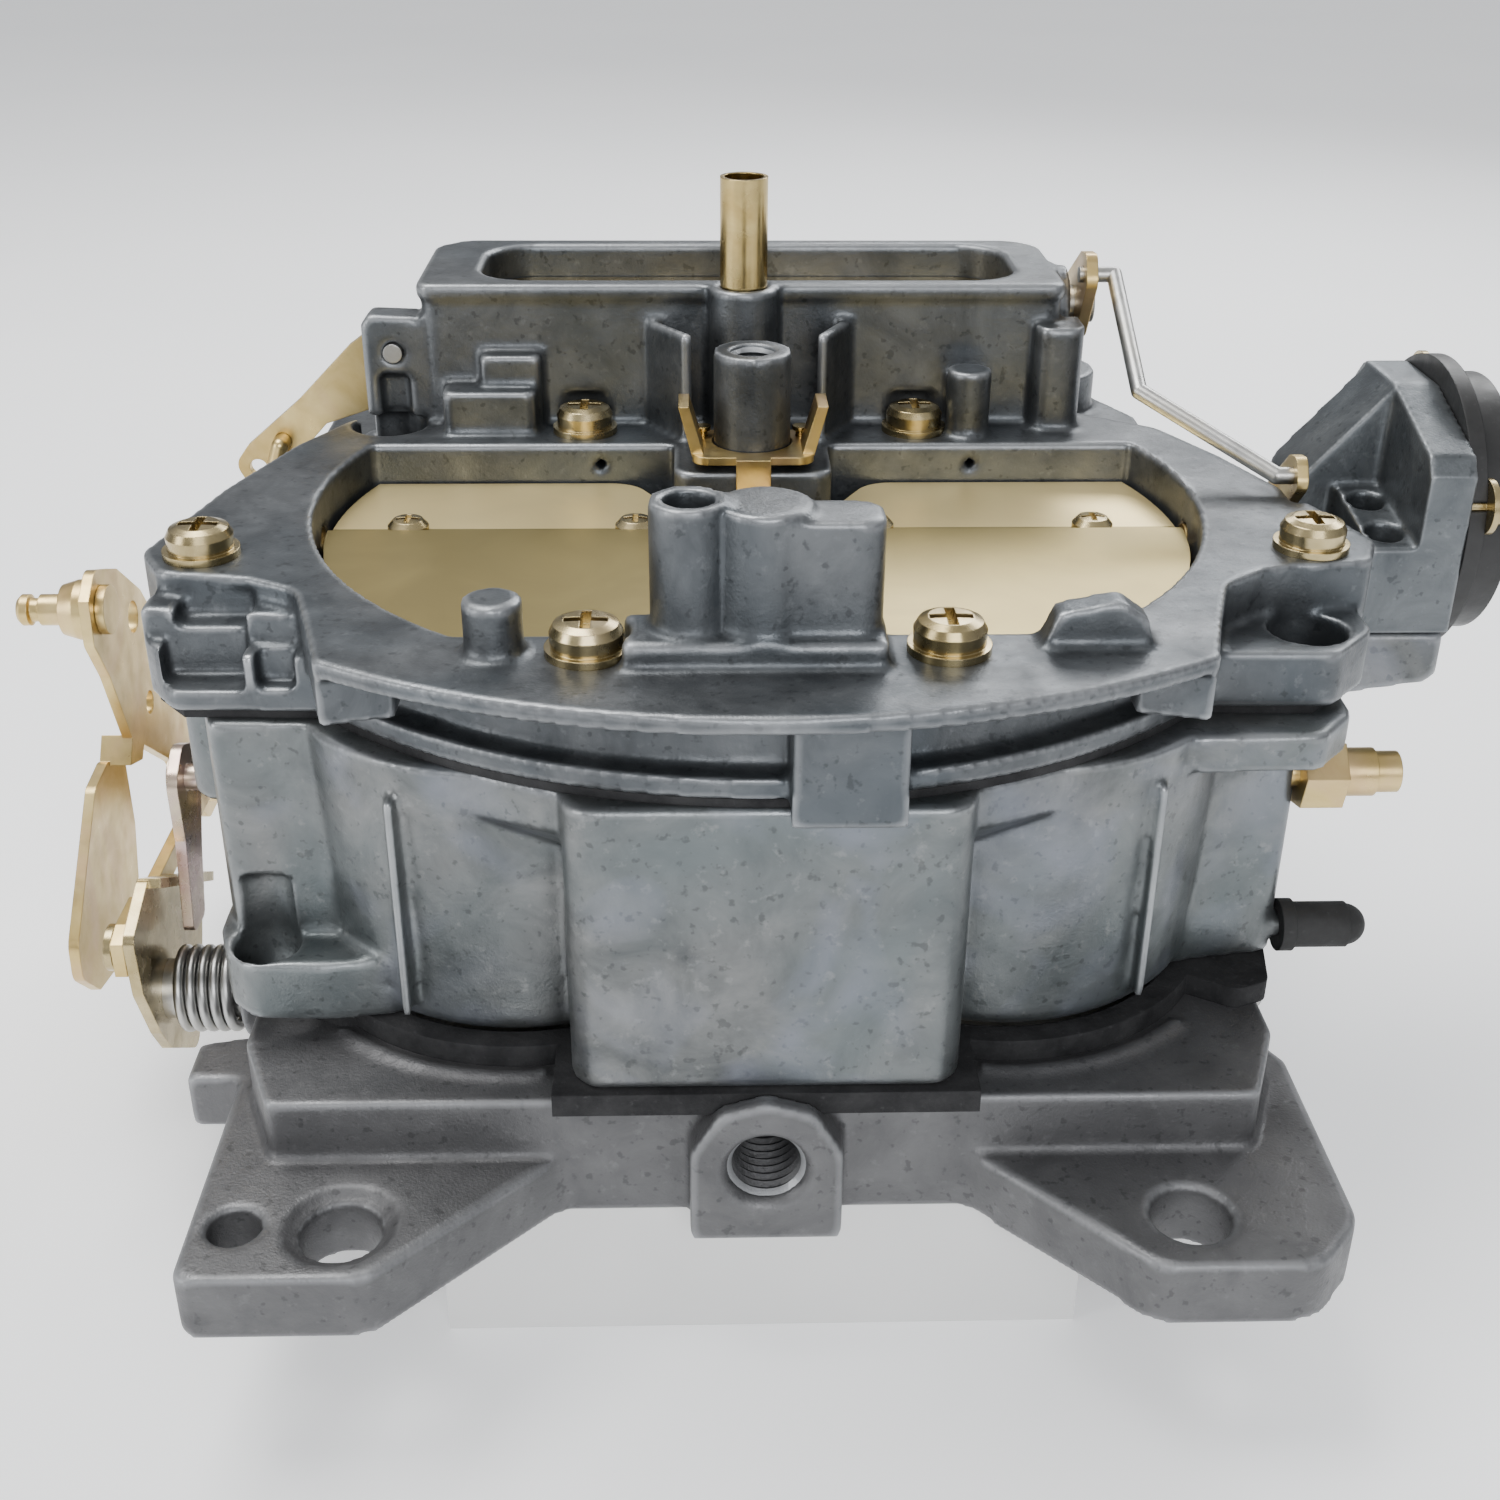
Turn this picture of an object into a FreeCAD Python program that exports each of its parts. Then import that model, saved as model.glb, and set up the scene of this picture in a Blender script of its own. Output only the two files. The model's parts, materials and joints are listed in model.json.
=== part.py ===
import FreeCAD, Part
import os
import Sketcher
from FreeCAD import Placement, Rotation, Vector

# Four-barrel spread-bore carburetor, in millimetres.
# Origin: centre of the mounting-bolt pattern on the underside of the throttle body.
# +Y is the front (primary side), -Y the rear (secondary side), +X the right (choke housing),
# -X the left (throttle levers), +Z up.

os.makedirs("parts", exist_ok=True)
doc = FreeCAD.newDocument("carburetor")
sheet = doc.addObject("Spreadsheet::Sheet", "Dimensions")
aliases = []
pieces = []


# ---------------------------------------------------------------- sizes
class Size:
    """A sheet expression together with its value; arithmetic carries both."""

    def __init__(self, text, value):
        self.text = text
        self.value = float(value)

    def __add__(self, other):
        other = as_size(other)
        return Size(f"({self.text} + {other.text})", self.value + other.value)

    def __sub__(self, other):
        other = as_size(other)
        return Size(f"({self.text} - {other.text})", self.value - other.value)

    def __mul__(self, other):
        other = as_size(other)
        return Size(f"({self.text} * {other.text})", self.value * other.value)

    __rmul__ = __mul__

    def __neg__(self):
        return self * -1


def as_size(number):
    return number if isinstance(number, Size) else Size(f"({number:.6g})", number)


def dim(alias, value, note=""):
    """One row of the sheet: note, number and alias. A repeated alias gets a number."""
    base = alias
    copy = 1
    while alias in aliases:
        copy += 1
        alias = f"{base}_{copy}"
    aliases.append(alias)
    row = len(aliases)
    sheet.set(f"A{row}", note or alias.replace("_", " "))
    sheet.set(f"B{row}", f"{value:.6g}")
    sheet.setAlias(f"B{row}", alias)
    return Size("Dimensions." + alias, value)


def place(alias, **coords):
    """A position as driving dimensions, one for each named axis."""
    return tuple(dim(f"{alias}_{axis}", value) for axis, value in coords.items())


def own(number, alias):
    """A bare number becomes a row of the sheet; a Size already rests on one."""
    return number if isinstance(number, Size) else dim(alias, number)


def ends(name, span):
    return own(span[0], name + "_from"), own(span[1], name + "_to")


def bind(target, prop, number, alias):
    target.setExpression(prop, own(number, alias).text)


# ---------------------------------------------------------------- solids
# Rotation that takes +Z to the named direction.
TURNS = {
    "z": Rotation(),
    "x": Rotation(Vector(0, 1, 0), 90),
    "-x": Rotation(Vector(0, 1, 0), -90),
    "y": Rotation(Vector(1, 0, 0), -90),
    "-y": Rotation(Vector(1, 0, 0), 90),
    "-z": Rotation(Vector(1, 0, 0), 180),
}
# Prism axis: sketch plane, and which coordinates its two directions are.
PLANES = {"z": ("XY_Plane", (0, 1)), "x": ("YZ_Plane", (1, 2)), "y": ("XZ_Plane", (0, 2))}
SIDES = (-1, 1)  # left, right


def seat(target, name, spot, turn=TURNS["z"]):
    """Place an object; every coordinate but a plain zero is bound to the sheet."""
    target.Placement = Placement(Vector(*(as_size(c).value for c in spot)), turn)
    for axis, coord in zip("xyz", spot):
        if coord:
            bind(target, "Placement.Base." + axis, coord, f"{name}_at_{axis}")
    return target


def on_axis(axis, along, first, second):
    """Point at a distance along an axis; first, second are the others in X, Y, Z order."""
    return {"z": (first, second, along), "x": (along, first, second),
            "y": (first, along, second)}[axis]


def box(name, x, y, z):
    result = doc.addObject("Part::Box", name)
    starts = []
    for prop, axis, span in (("Length", "x", x), ("Width", "y", y), ("Height", "z", z)):
        start, end = ends(f"{name}_{axis}", span)
        result.setExpression(prop, (end - start).text)
        starts.append(start)
    return seat(result, name, starts)


def round_solid(kind, radii, name, axis, span, first, second):
    result = doc.addObject(kind, name)
    start, end = ends(name, span)
    for prop, radius in radii.items():
        bind(result, prop, radius, f"{name}_{prop.lower()}")
    result.setExpression("Height", (end - start).text)
    return seat(result, name, on_axis(axis, start, first, second), TURNS[axis])


def cyl(name, axis, radius, span, first, second):
    return round_solid("Part::Cylinder", {"Radius": radius}, name, axis, span, first, second)


def cyls(name, axis, radius, span, spots):
    return [cyl(name, axis, radius, span, *spot) for spot in spots]


def cone(name, axis, start_rad, end_rad, span, first, second):
    radii = {"Radius1": start_rad, "Radius2": end_rad}
    return round_solid("Part::Cone", radii, name, axis, span, first, second)


def ball(name, radius, *spot):
    result = doc.addObject("Part::Sphere", name)
    bind(result, "Radius", radius, name + "_radius")
    return seat(result, name, spot)


def fuse(name, solids):
    if len(solids) == 1:
        return solids[0]
    result = doc.addObject("Part::MultiFuse", name)
    result.Shapes = solids
    return result


def cut(name, base, tools):
    """Base less the tools; a base given as a list is fused first."""
    if isinstance(base, list):
        base = fuse(name + "_solid", base)
    result = doc.addObject("Part::Cut", name)
    result.Base = base
    result.Tool = fuse(name + "_tools", tools)
    return result


def common(name, solids):
    result = doc.addObject("Part::MultiCommon", name)
    result.Shapes = solids
    return result


def clip(name, solid, x, y, z):
    """The part of a solid inside a box."""
    return common(name, [solid, box(name + "_clip", x, y, z)])


def group(name, solids):
    result = doc.addObject("Part::Compound", name)
    result.Links = solids
    return result


def settle(*objects):
    """Recompute just these objects, in order, so that later features can read their shapes."""
    sheet.recompute()
    for item in objects:
        item.recompute()


def origin(body, role):
    return [f for f in body.Origin.OriginFeatures if f.Role == role][0]


def sketch(body, name, plane, corners, level=0):
    """Closed polygon on an origin plane, every corner dimensioned from the origin."""
    result = body.newObject("Sketcher::SketchObject", name)
    result.AttachmentSupport = [(origin(body, plane), "")]
    result.MapMode = "FlatFace"
    sizes = [(own(u, f"{name}_c{i}_u"), own(v, f"{name}_c{i}_v"))
             for i, (u, v) in enumerate(corners)]
    points = [Vector(u.value, v.value, 0) for u, v in sizes]
    count = len(points)
    result.addGeometry([Part.LineSegment(points[i], points[(i + 1) % count])
                        for i in range(count)], False)
    rules = [Sketcher.Constraint("Coincident", i, 2, (i + 1) % count, 1) for i in range(count)]
    for i, point in enumerate(points):
        rules.append(Sketcher.Constraint("DistanceX", -1, 1, i, 1, point.x))
        rules.append(Sketcher.Constraint("DistanceY", -1, 1, i, 1, point.y))
    result.addConstraint(rules)
    for i, (u, v) in enumerate(sizes):
        result.setExpression(f"Constraints[{count + 2 * i}]", u.text)
        result.setExpression(f"Constraints[{count + 2 * i + 1}]", v.text)
    level = as_size(level)
    result.AttachmentOffset = Placement(Vector(0, 0, level.value), Rotation())
    result.setExpression("AttachmentOffset.Base.z", level.text)
    return result


def prism(name, axis, corners, span, rounds=None):
    """Body: a polygon padded along an axis; rounds = {radius: [corner numbers]}."""
    body = doc.addObject("PartDesign::Body", name)
    start, end = ends(name, span)
    plane, directions = PLANES[axis]
    # The XZ plane faces -Y, so a pad along Y starts from its front end.
    level = -end if axis == "y" else start
    outline = sketch(body, name + "_outline", plane, corners, level)
    pad = body.newObject("PartDesign::Pad", name + "_pad")
    pad.Profile = outline
    pad.setExpression("Length", (end - start).text)
    if not rounds:
        return body

    def stands_on(edge, corner):
        return all(abs(vertex.Point[k] - as_size(coord).value) < 1e-4
                   for vertex in (edge.Vertexes[0], edge.Vertexes[-1])
                   for k, coord in zip(directions, corner))

    settle(outline, pad)
    for radius, numbers in sorted(rounds.items()):
        base = body.Tip
        edges = [f"Edge{i}" for number in numbers
                 for i, edge in enumerate(base.Shape.Edges, 1)
                 if stands_on(edge, corners[number])]
        if len(edges) != len(numbers):
            raise RuntimeError(f"{name}: corners {numbers} gave edges {edges}")
        fillet = body.newObject("PartDesign::Fillet", name + "_round")
        fillet.Base = (base, edges)
        bind(fillet, "Radius", radius, name + "_round")
        settle(fillet)
    return body


def both(name, axis, corners, span, rounds=None):
    """Left and right prisms from the outline of the right one."""
    return [prism(name, axis, [(side * u, v) for u, v in corners], span, rounds)
            for side in SIDES]


def turned(name, profile, recess=None):
    """Body: (radius, height) corners revolved about Z.

    recess = (reach, half width, depth) of a cross sunk in the top, the profile's last corner.
    """
    body = doc.addObject("PartDesign::Body", name)
    revolution_sketch = sketch(body, name + "_profile", "XZ_Plane", profile)
    revolution = body.newObject("PartDesign::Revolution", name + "_rev")
    revolution.Profile = revolution_sketch
    revolution.ReferenceAxis = (origin(body, "Z_Axis"), [""])
    revolution.Angle = 360
    if recess:
        far = own(recess[0], name + "_recess_reach")
        near = own(recess[1], name + "_recess_half_width")
        cross = [(near, near), (far, near), (far, -near), (near, -near), (near, -far),
                 (-near, -far), (-near, -near), (-far, -near), (-far, near), (-near, near),
                 (-near, far), (near, far)]
        top = own(profile[-1][1], name + "_head_top")
        cross_sketch = sketch(body, name + "_cross", "XY_Plane", cross, top)
        settle(revolution_sketch, revolution, cross_sketch)
        pocket = body.newObject("PartDesign::Pocket", name + "_recess")
        pocket.Profile = cross_sketch
        bind(pocket, "Length", recess[2], name + "_recess_depth")
    return body


def links(name, source, spots, direction="z"):
    """Links to one body, its +Z turned to the direction, one at each (x, y, z) spot."""
    result = []
    for spot in spots:
        copy = doc.addObject("App::Link", name + "_copy")
        copy.LinkedObject = source
        result.append(seat(copy, name, spot, TURNS[direction]))
    return result


def copies(name, source, spots, direction="z"):
    return group(name, links(name, source, spots, direction))


def coil(name, axis, wire, radius, pitch, span, first, second):
    """Coil spring: a wire circle swept along a helix."""
    start, end = ends(name, span)
    wire = own(wire, name + "_wire_rad")
    radius = own(radius, name + "_coil_rad")
    helix = doc.addObject("Part::Helix", name + "_helix")
    bind(helix, "Pitch", pitch, name + "_pitch")
    helix.setExpression("Height", (end - start - 2 * wire).text)
    helix.setExpression("Radius", radius.text)
    circle = doc.addObject("Part::Circle", name + "_wire")
    circle.setExpression("Radius", wire.text)
    circle.Placement = Placement(Vector(radius.value, 0, 0), TURNS["-y"])
    circle.setExpression("Placement.Base.x", radius.text)
    sweep = doc.addObject("Part::Sweep", name)
    sweep.Sections = [circle]
    sweep.Spine = (helix, ["Edge1"])
    sweep.Solid = True
    sweep.Frenet = True
    return seat(sweep, name, on_axis(axis, start + wire, first, second), TURNS[axis])


def bent(name, wire, corners):
    """Bent round wire through (x, y, z) corners: cylinders joined by balls."""
    solids = []
    wire = own(wire, name + "_wire_rad")
    for i, (corner, after) in enumerate(zip(corners, corners[1:])):
        run = Vector(*after) - Vector(*corner)
        leg = doc.addObject("Part::Cylinder", name + "_leg")
        leg.setExpression("Radius", wire.text)
        bind(leg, "Height", run.Length, name + "_leg_length")
        solids.append(seat(leg, name + "_leg", corner, Rotation(Vector(0, 0, 1), run)))
        if i:
            solids.append(ball(name + "_bend", wire, *corner))
    return fuse(name, solids)


def hexagon(name, flats, axis, span, first, second, turn=0):
    """Hexagonal prism by its distance across flats."""
    start, end = ends(name, span)
    polygon = doc.addObject("Part::RegularPolygon", name + "_polygon")
    polygon.Polygon = 6
    polygon.setExpression("Circumradius", (own(flats, name + "_flats") * 0.57735).text)
    result = doc.addObject("Part::Extrusion", name)
    result.Base = polygon
    result.DirMode = "Custom"
    result.Dir = Vector(0, 0, 1)
    result.setExpression("LengthFwd", (end - start).text)
    result.Solid = True
    rotation = TURNS[axis] * Rotation(Vector(0, 0, 1), turn)
    return seat(result, name, on_axis(axis, start, first, second), rotation)


def piece(solid):
    """Mark a solid for export; its Label names the file."""
    pieces.append(solid)


# ---------------------------------------------------------------- driving dimensions
base_top = dim("base_top", 18.5, "throttle body height")
foot_top = dim("foot_top", 9.5, "height of the mounting feet")
insulator = dim("insulator", 3.3, "throttle body gasket thickness")
bowl_low = base_top + insulator
bowl_top = dim("bowl_top", 63.0, "top face of the float bowl")
gasket = dim("gasket", 1.2, "air horn gasket thickness")
horn_low = bowl_top + gasket
ear_top = dim("ear_top", 72.0, "top of the air horn ears")
seat_top = dim("seat_top", 79.0, "air cleaner seat height")
tower_top = dim("tower_top", 101.5, "top of the choke tower")
bolt_x, bolt_y = place("bolt", x=54.0, y=71.45)
bolt_rad = dim("bolt_rad", 5.2, "mounting bolt hole radius")
sec_x, sec_y = place("secondary_bore", x=33.0, y=-19.0)
sec_rad = dim("secondary_rad", 28.6, "secondary bore radius")
pri_x, pri_y = place("primary_bore", x=25.0, y=52.0)
pri_rad = dim("primary_rad", 17.46, "primary bore radius")
throttle_z = dim("throttle_z", 9.25, "throttle shaft height")
throttle_rad = dim("throttle_rad", 4.5, "throttle shaft radius")
lever_bore = throttle_rad + 0.02
running = dim("running_clearance", 0.05, "radial clearance of a shaft in its bore")
valve_axis = valve_y, valve_z = place("air_valve_shaft", y=6.0, z=70.6)
valve_rad = dim("valve_rad", 2.8, "air valve shaft radius")
choke_axis = choke_y, choke_z = place("choke_shaft", y=52.0, z=95.0)
choke_rad = dim("choke_rad", 3.0, "choke shaft radius")
housing_axis = housing_y, housing_z = place("housing_shaft", y=12.0, z=75.0)
screw_rad = dim("screw_rad", 2.0, "air horn screw shank radius")
tap_rad = screw_rad + 0.05
mix_x = dim("mix_x", 22.0, "idle mixture screws, half spacing")
idle_screw = place("idle_screw", x=-75.5, z=20.5)
port_z = dim("port_z", 11.3, "height of the rear vacuum port")
port_rad = dim("port_rad", 5.1, "rear vacuum port radius")
inlet = place("fuel_inlet", x=0.0, z=42.0)
inlet_rad = dim("inlet_rad", 6.4, "fuel inlet port radius")
pump_well = place("pump_well", x=-60.5, y=50.0)
pump_rad = dim("pump_rad", 7.5, "accelerator pump well radius")
pump_pivot = place("pump_pivot", x=-56.6, z=90.5)
stud = place("cleaner_stud", x=0.0, y=22.0)
stud_rad = dim("stud_rad", 3.2, "air cleaner stud thread radius")
stud_top = dim("stud_top", 95.5, "air cleaner stud boss top")
vent = place("vent", x=-1.0, y=37.4)
lockout = place("lockout_pin", y=-9.0, z=40.0)
nipple = place("vacuum_nipple", y=-30.0, z=26.0)
fitting = place("side_fitting", y=-28.4, z=50.0)
float_pin = place("float_pin", x=4.0, z=56.0)
needle = place("needle", x=13.0, y=19.0)
piston = place("power_piston", x=31.0, y=20.0)
front_pin = place("front_link_pin", y=45.0, z=21.35)
rear_pin = place("rear_link_pin", y=-26.0, z=21.35)
lever_stud = place("lever_stud", y=9.6, z=59.0)
rim_arc = place("rim_arc", x=0.0, y=17.5)
opening = place("opening", x=0.3, y=5.0)

sec_axis = (sec_y, throttle_z)
pri_axis = (pri_y, throttle_z)
sec_bores = [(side * sec_x, sec_y) for side in SIDES]
pri_bores = [(side * pri_x, pri_y) for side in SIDES]
rear_bolts = [(side * bolt_x, -bolt_y) for side in SIDES]
front_bolts = [(side * bolt_x, bolt_y) for side in SIDES]
mix_screws = [(side * mix_x, throttle_z) for side in SIDES]
sec_jets = [(side * 7.6, 24.4) for side in SIDES]
main_jets = [(x, piston[1]) for x in (21.5, 40.5)]
valve_screws = [(x, valve_y) for x in (-51.0, -17.6, 17.6, 50.2)]
choke_screws = [(x, choke_y) for x in (-14.0, 14.0)]
housing_screws = [(90.1, y) for y in (-4.5, 4.5)]
cover_screws = [(housing_y + y, housing_z + z)
                for y, z in ((-19.4, 6.0), (12.0, 15.6), (17.6, -9.8))]
# Air horn and throttle body screws: x, y.
horn_screws = [(-74.6, -18.7), (75.0, -17.8), (-21.6, -51.0),
               (21.6, -50.6), (-26.3, 34.4), (26.3, 34.6)]
front_screws = [(-20.0, 75.0), (20.0, 75.0)]
base_screws = [(-55.0, 22.0), (55.0, 22.0), (0.0, -38.0)]


# ---------------------------------------------------------------- throttle body
def rear_rims():
    """Raised arcs behind the secondary bores."""
    discs = fuse("rim_pair", cyls("rim", "z", 35.2, (base_top - 1, base_top + 0.7), sec_bores))
    arcs = clip("rim_rear", discs, (-64.5, 64.5), (-56.5, -43.0), (base_top - 1, base_top + 2))
    inside = (base_top - 2, base_top + 3)
    return cut("rim_ring", arcs, cyls("rim_inside", "z", 33.6, inside, sec_bores)
               + [box("rim_gap", (-29, 29), (-70.0, 0.0), inside)])


def throttle_body():
    feet = [(-73.3, -81), (-49.5, -81), (-27, -58.8), (27, -58.8), (48.2, -81), (68.5, -81),
            (75.2, -73), (75.2, -40), (70, -30), (70, 50), (75, 60), (75, 81.5), (46, 81.5),
            (34, 76), (-34, 76), (-46, 81.5), (-75, 81.5), (-75, 60), (-70, 50), (-70, -30),
            (-73.3, -40)]
    platform = [(-65, -58.95), (65, -58.95), (70.5, -45), (70.5, 76), (-70.5, 76), (-70.5, -45)]
    port_boss = [(-10, 0.0), (10, 0.0), (10, 14), (6.2, 20.4), (0.0, 22.2), (-6.2, 20.4),
                 (-10, 14)]
    solids = [
        prism("feet", "z", feet, (0.0, foot_top),
              {2.5: [0], 5: [1, 4, 12, 15], 7: [5, 6, 11, 16], 4: [2, 3]}),
        prism("platform", "z", platform, (4.0, base_top), {2: [0, 1], 12: [3, 4]}),
        prism("port_boss", "y", port_boss, (-65.0, -58.0), {3: [2, 3, 5, 6]}),
        prism("stop_lug", "z", [(-80.8, -41.5), (-68, -41.5), (-68, -30), (-80.8, -33)],
              (1.0, foot_top), {1: [0]}),
        rear_rims(),
        fuse("idle_boss", [box("idle_boss_low", (-79.5, -69.0), (33.0, 41.0), (2.0, 18.5)),
                           box("idle_boss_high", (-79.5, -71.4), (33.0, 41.0), (18.0, 24.5))]),
    ]
    solids += [cyl("shaft_boss", "x", 7.2, span, *axis)
               for axis in (sec_axis, pri_axis) for span in ((-76.5, -69), (69, 74.5))]
    solids += cyls("mix_boss", "y", 6.0, (70, 84), mix_screws)
    cuts = cyls("bolt_hole", "z", bolt_rad, (-1, 30), rear_bolts + front_bolts)
    cuts += [
        cyl("spot_face", "z", 6.9, (foot_top - 1.2, foot_top + 5), *rear_bolts[0]),
        cyl("bracket_hole", "z", 3.4, (-1, 15), -67.3, -71.4),
        *cyls("sec_bore", "z", sec_rad, (-1, 30), sec_bores),
        *cyls("pri_bore", "z", pri_rad, (-1, 30), pri_bores),
        *cyls("shaft_bore", "x", throttle_rad + running, (-80, 80), (sec_axis, pri_axis)),
        cyl("port_hole", "y", port_rad, (-66, -44), 0.0, port_z),
        cone("port_chamfer", "y", 6.4, 5.0, (-65.05, -63.6), 0.0, port_z),
        *cyls("mix_hole", "y", 2.05, (66.0, 90.0), mix_screws),
        cyl("idle_screw_hole", "y", 2.05, (30.0, 45.0), *idle_screw),
        box("port_boss_relief", (-12, 12), (-62.0, -50.0), (base_top, 25.0)),
        *cyls("screw_hole", "z", 2.3, (-1.0, 30.0), base_screws),
        *cyls("screw_sink", "z", 4.6, (-1.0, 5.0), base_screws),
    ]
    return cut("throttle_body", solids, cuts)


def throttle_body_gasket():
    """Thick insulating gasket, slightly proud of the bowl."""
    sheet_span = (base_top, bowl_low)
    through = (base_top - 1, bowl_low + 1)
    outline = [(-66, -38), (-58, -42), (58, -38), (68.5, -31), (68.5, 70), (60, 79), (-60, 79),
               (-68, 70), (-68, -30)]
    tab = [(60, -36), (66.5, -40), (71.5, -38), (73, -30), (60, -24)]
    solids = cyls("insulator_lobe", "z", 32.4, sheet_span, sec_bores) + [
        box("insulator_middle", (-27.6, 27.6), (-61.9, 0), sheet_span),
        prism("insulator_main", "z", outline, sheet_span, {3: [0, 3]}),
        prism("insulator_tab", "z", tab, sheet_span, {2: [1, 2]}),
    ]
    cuts = []
    for radius, spots in ((29.0, sec_bores), (18.2, pri_bores), (2.3, base_screws),
                          (bolt_rad, front_bolts)):
        cuts += cyls("insulator_hole", "z", radius, through, spots)
    return cut("throttle_body_gasket", solids, cuts)


piece(throttle_body())
piece(throttle_body_gasket())


# ---------------------------------------------------------------- float bowl
def bowl_casting():
    block = [(-25.2, -61), (25.2, -61), (25.2, -20), (-25.2, -20)]
    main = [(-66, -30), (66, -26), (68, 10), (68.5, 40), (68.5, 66), (62, 79), (20, 79),
            (-20, 79), (-62, 79), (-70.5, 66), (-70.5, 40), (-66.5, 20)]
    ear = [(-74.2, -36), (-72.3, -41.4), (-68.9, -44.9), (-58.6, -45.5), (-49.4, -44.1),
           (-45, -30), (-74.2, -28)]
    left_post = [(-73.2, -33), (-71.5, -37.2), (-57.5, -37.6), (-52, -34), (-50, -20),
                 (-64, -14), (-73, -22)]
    right_post = [(55, -35), (62, -33), (73.5, -31), (74, -24), (66, -10), (50, -10)]
    shoulder = [(52, -40), (56, -43), (72, -42.5), (77.5, -36), (78, -24), (60, -16), (50, -30)]
    choke_pad = [(64, 49), (98.2, 54.4), (99.7, 55.8), (99.7, 62.3), (64, 62.3)]
    full = (bowl_low, bowl_top)
    solids = [
        prism("bowl_block", "z", block, full, {4.5: [0, 1]}),
        prism("bowl_main", "z", main, full, {6: [5, 8], 4: [9, 4]}),
        prism("bowl_ear", "z", ear, (bowl_low, 31.0), {2.5: [1, 2], 1.5: [0]}),
        prism("left_post", "z", left_post, (bowl_low + 2, bowl_top), {2: [0, 1], 3: [2, 6]}),
        prism("right_post", "z", right_post, full, {2: [2, 3]}),
        prism("right_shoulder", "z", shoulder, (57.6, bowl_top), {3: [2, 3]}),
        clip("bowl_rim", cyl("bowl_rim_disc", "z", 77.5, (57.0, bowl_top), *rim_arc),
             (-58, 58), (-60.5, -10), (50.0, 70.0)),
        clip("bowl_slope", cone("bowl_slope_cone", "z", 70.0, 77.5, (50.0, 57.0), *rim_arc),
             (-52, 52), (-60.5, -10), (49.0, 58.0)),
        prism("choke_pad", "y", choke_pad, (-9.5, 22.0)),
    ]
    for bore in sec_bores:
        solids.append(cone("bowl_lobe", "z", 30.4, 32.2, (bowl_low + 2.2, bowl_top), *bore))
        solids.append(cone("bowl_lobe_foot", "z", 28.4, 30.4, (bowl_low, bowl_low + 2.2), *bore))
    boss_span = (44.0, bowl_top)
    seam_span = (bowl_low + 4, 58.0)
    solids += cyls("bowl_screw_boss", "z", 5.2, boss_span, horn_screws[:2])
    solids += [
        box("left_web", (-74.6, -60), (-22.5, -15), boss_span),
        box("right_web", (60, 75.0), (-21.5, -14), boss_span),
        cyl("inlet_boss", "y", 12.5, (70.0, 93.0), *inlet),
        box("inlet_boss_foot", (-9, 9), (76.0, 88.0), (bowl_low + 3, 42.0)),
        box("left_cast_line", (-47.9, -46.7), (-49.8, -20), seam_span),
        box("right_cast_line", (50.2, 51.4), (-47.5, -20), seam_span),
    ]
    return fuse("bowl_casting", solids)


def bowl_hollows():
    """Bores, wells, fuel ways and tapped holes of the bowl."""
    cuts = []
    for bore, well_x in zip(sec_bores, ((-62.8, -4.6), (4.6, 62.8))):
        disc = cyl("sec_well_disc", "z", 62.8, (40.0, 70.0), 0.0, 5.0)
        cuts.append(clip("sec_well", disc, well_x, (-44.2, 8.8), (39.0, 71.0)))
        cuts.append(cyl("sec_throat", "z", 27.4, (20.0, 41.0), *bore))
    for bore in pri_bores:
        cuts.append(cyl("venturi", "z", 14.0, (20.0, 70.0), *bore))
        cuts.append(cone("venturi_skirt", "z", pri_rad, 14.0, (bowl_low - 0.01, 42.0), *bore))
    return cuts + [
        box("float_chamber", (-44.0, 44.0), (12.4, 27.6), (27.0, 70.0)),
        cyl("pump_well", "z", pump_rad, (27.0, 70.0), *pump_well),
        box("pump_fill", (-58.5, -43.0), (25.0, 27.6), (50.0, 70.0)),
        box("pump_fill_front", (-60.5, -56.5), (25.0, 50.0), (50.0, 70.0)),
        *cyls("bowl_bolt_hole", "z", bolt_rad, (0.0, 80.0), front_bolts),
        cyl("bowl_ear_hole", "z", 4.5, (10.0, 40.0), -67.1, -39.7),
        cyl("filter_chamber", "y", 9.5, (68.0, 86.0), *inlet),
        cyl("inlet_thread", "y", 10.05, (85.0, 95.0), *inlet),
        cyl("fuel_down", "z", 1.7, (24.6, 42.0), 0.0, 69.5),
        cyl("fuel_along", "y", 1.7, (18.0, 69.5), 0.0, 24.6),
        cyl("fuel_across", "x", 1.7, (0.0, 13.0), 19.0, 24.6),
        cyl("seat_hole", "z", 3.05, (24.6, 33.0), *needle),
        *cyls("main_jet_thread", "z", 2.55, (24.5, 30.0), main_jets),
        *cyls("sec_jet_hole", "z", 2.3, (24.5, 30.0), sec_jets),
        *cyls("horn_tap", "z", tap_rad, (50.0, 70.0), horn_screws + front_screws),
        *cyls("base_tap", "z", tap_rad, (20.0, 33.0), base_screws),
        cyl("hinge_pin_slot", "y", 1.3, (11.2, 28.8), *float_pin),
        box("hinge_pin_mouth", (2.7, 5.3), (11.2, 28.8), (56.0, 70.0)),
        cyl("fitting_thread", "x", 1.95, (66.0, 80.0), *fitting),
        *cyls("choke_tap", "z", 1.6, (57.4, 70.0), housing_screws),
    ]


piece(cut("float_bowl", [
    cut("bowl_hollow", bowl_casting(), bowl_hollows()),
    cyl("piston_pedestal", "z", 5.2, (26.5, 40.0), *piston),
    cyl("nipple", "x", 1.58, (70.0, 79.0), *nipple),
    cyl("lockout_boss", "x", 4.6, (-72.0, -64.0), *lockout),
], [
    cyl("piston_bore", "z", 4.05, (24.0, 45.0), *piston),
    cyl("lockout_bore", "x", 2.05, (-74.0, -65.8), *lockout),
]))


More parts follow.
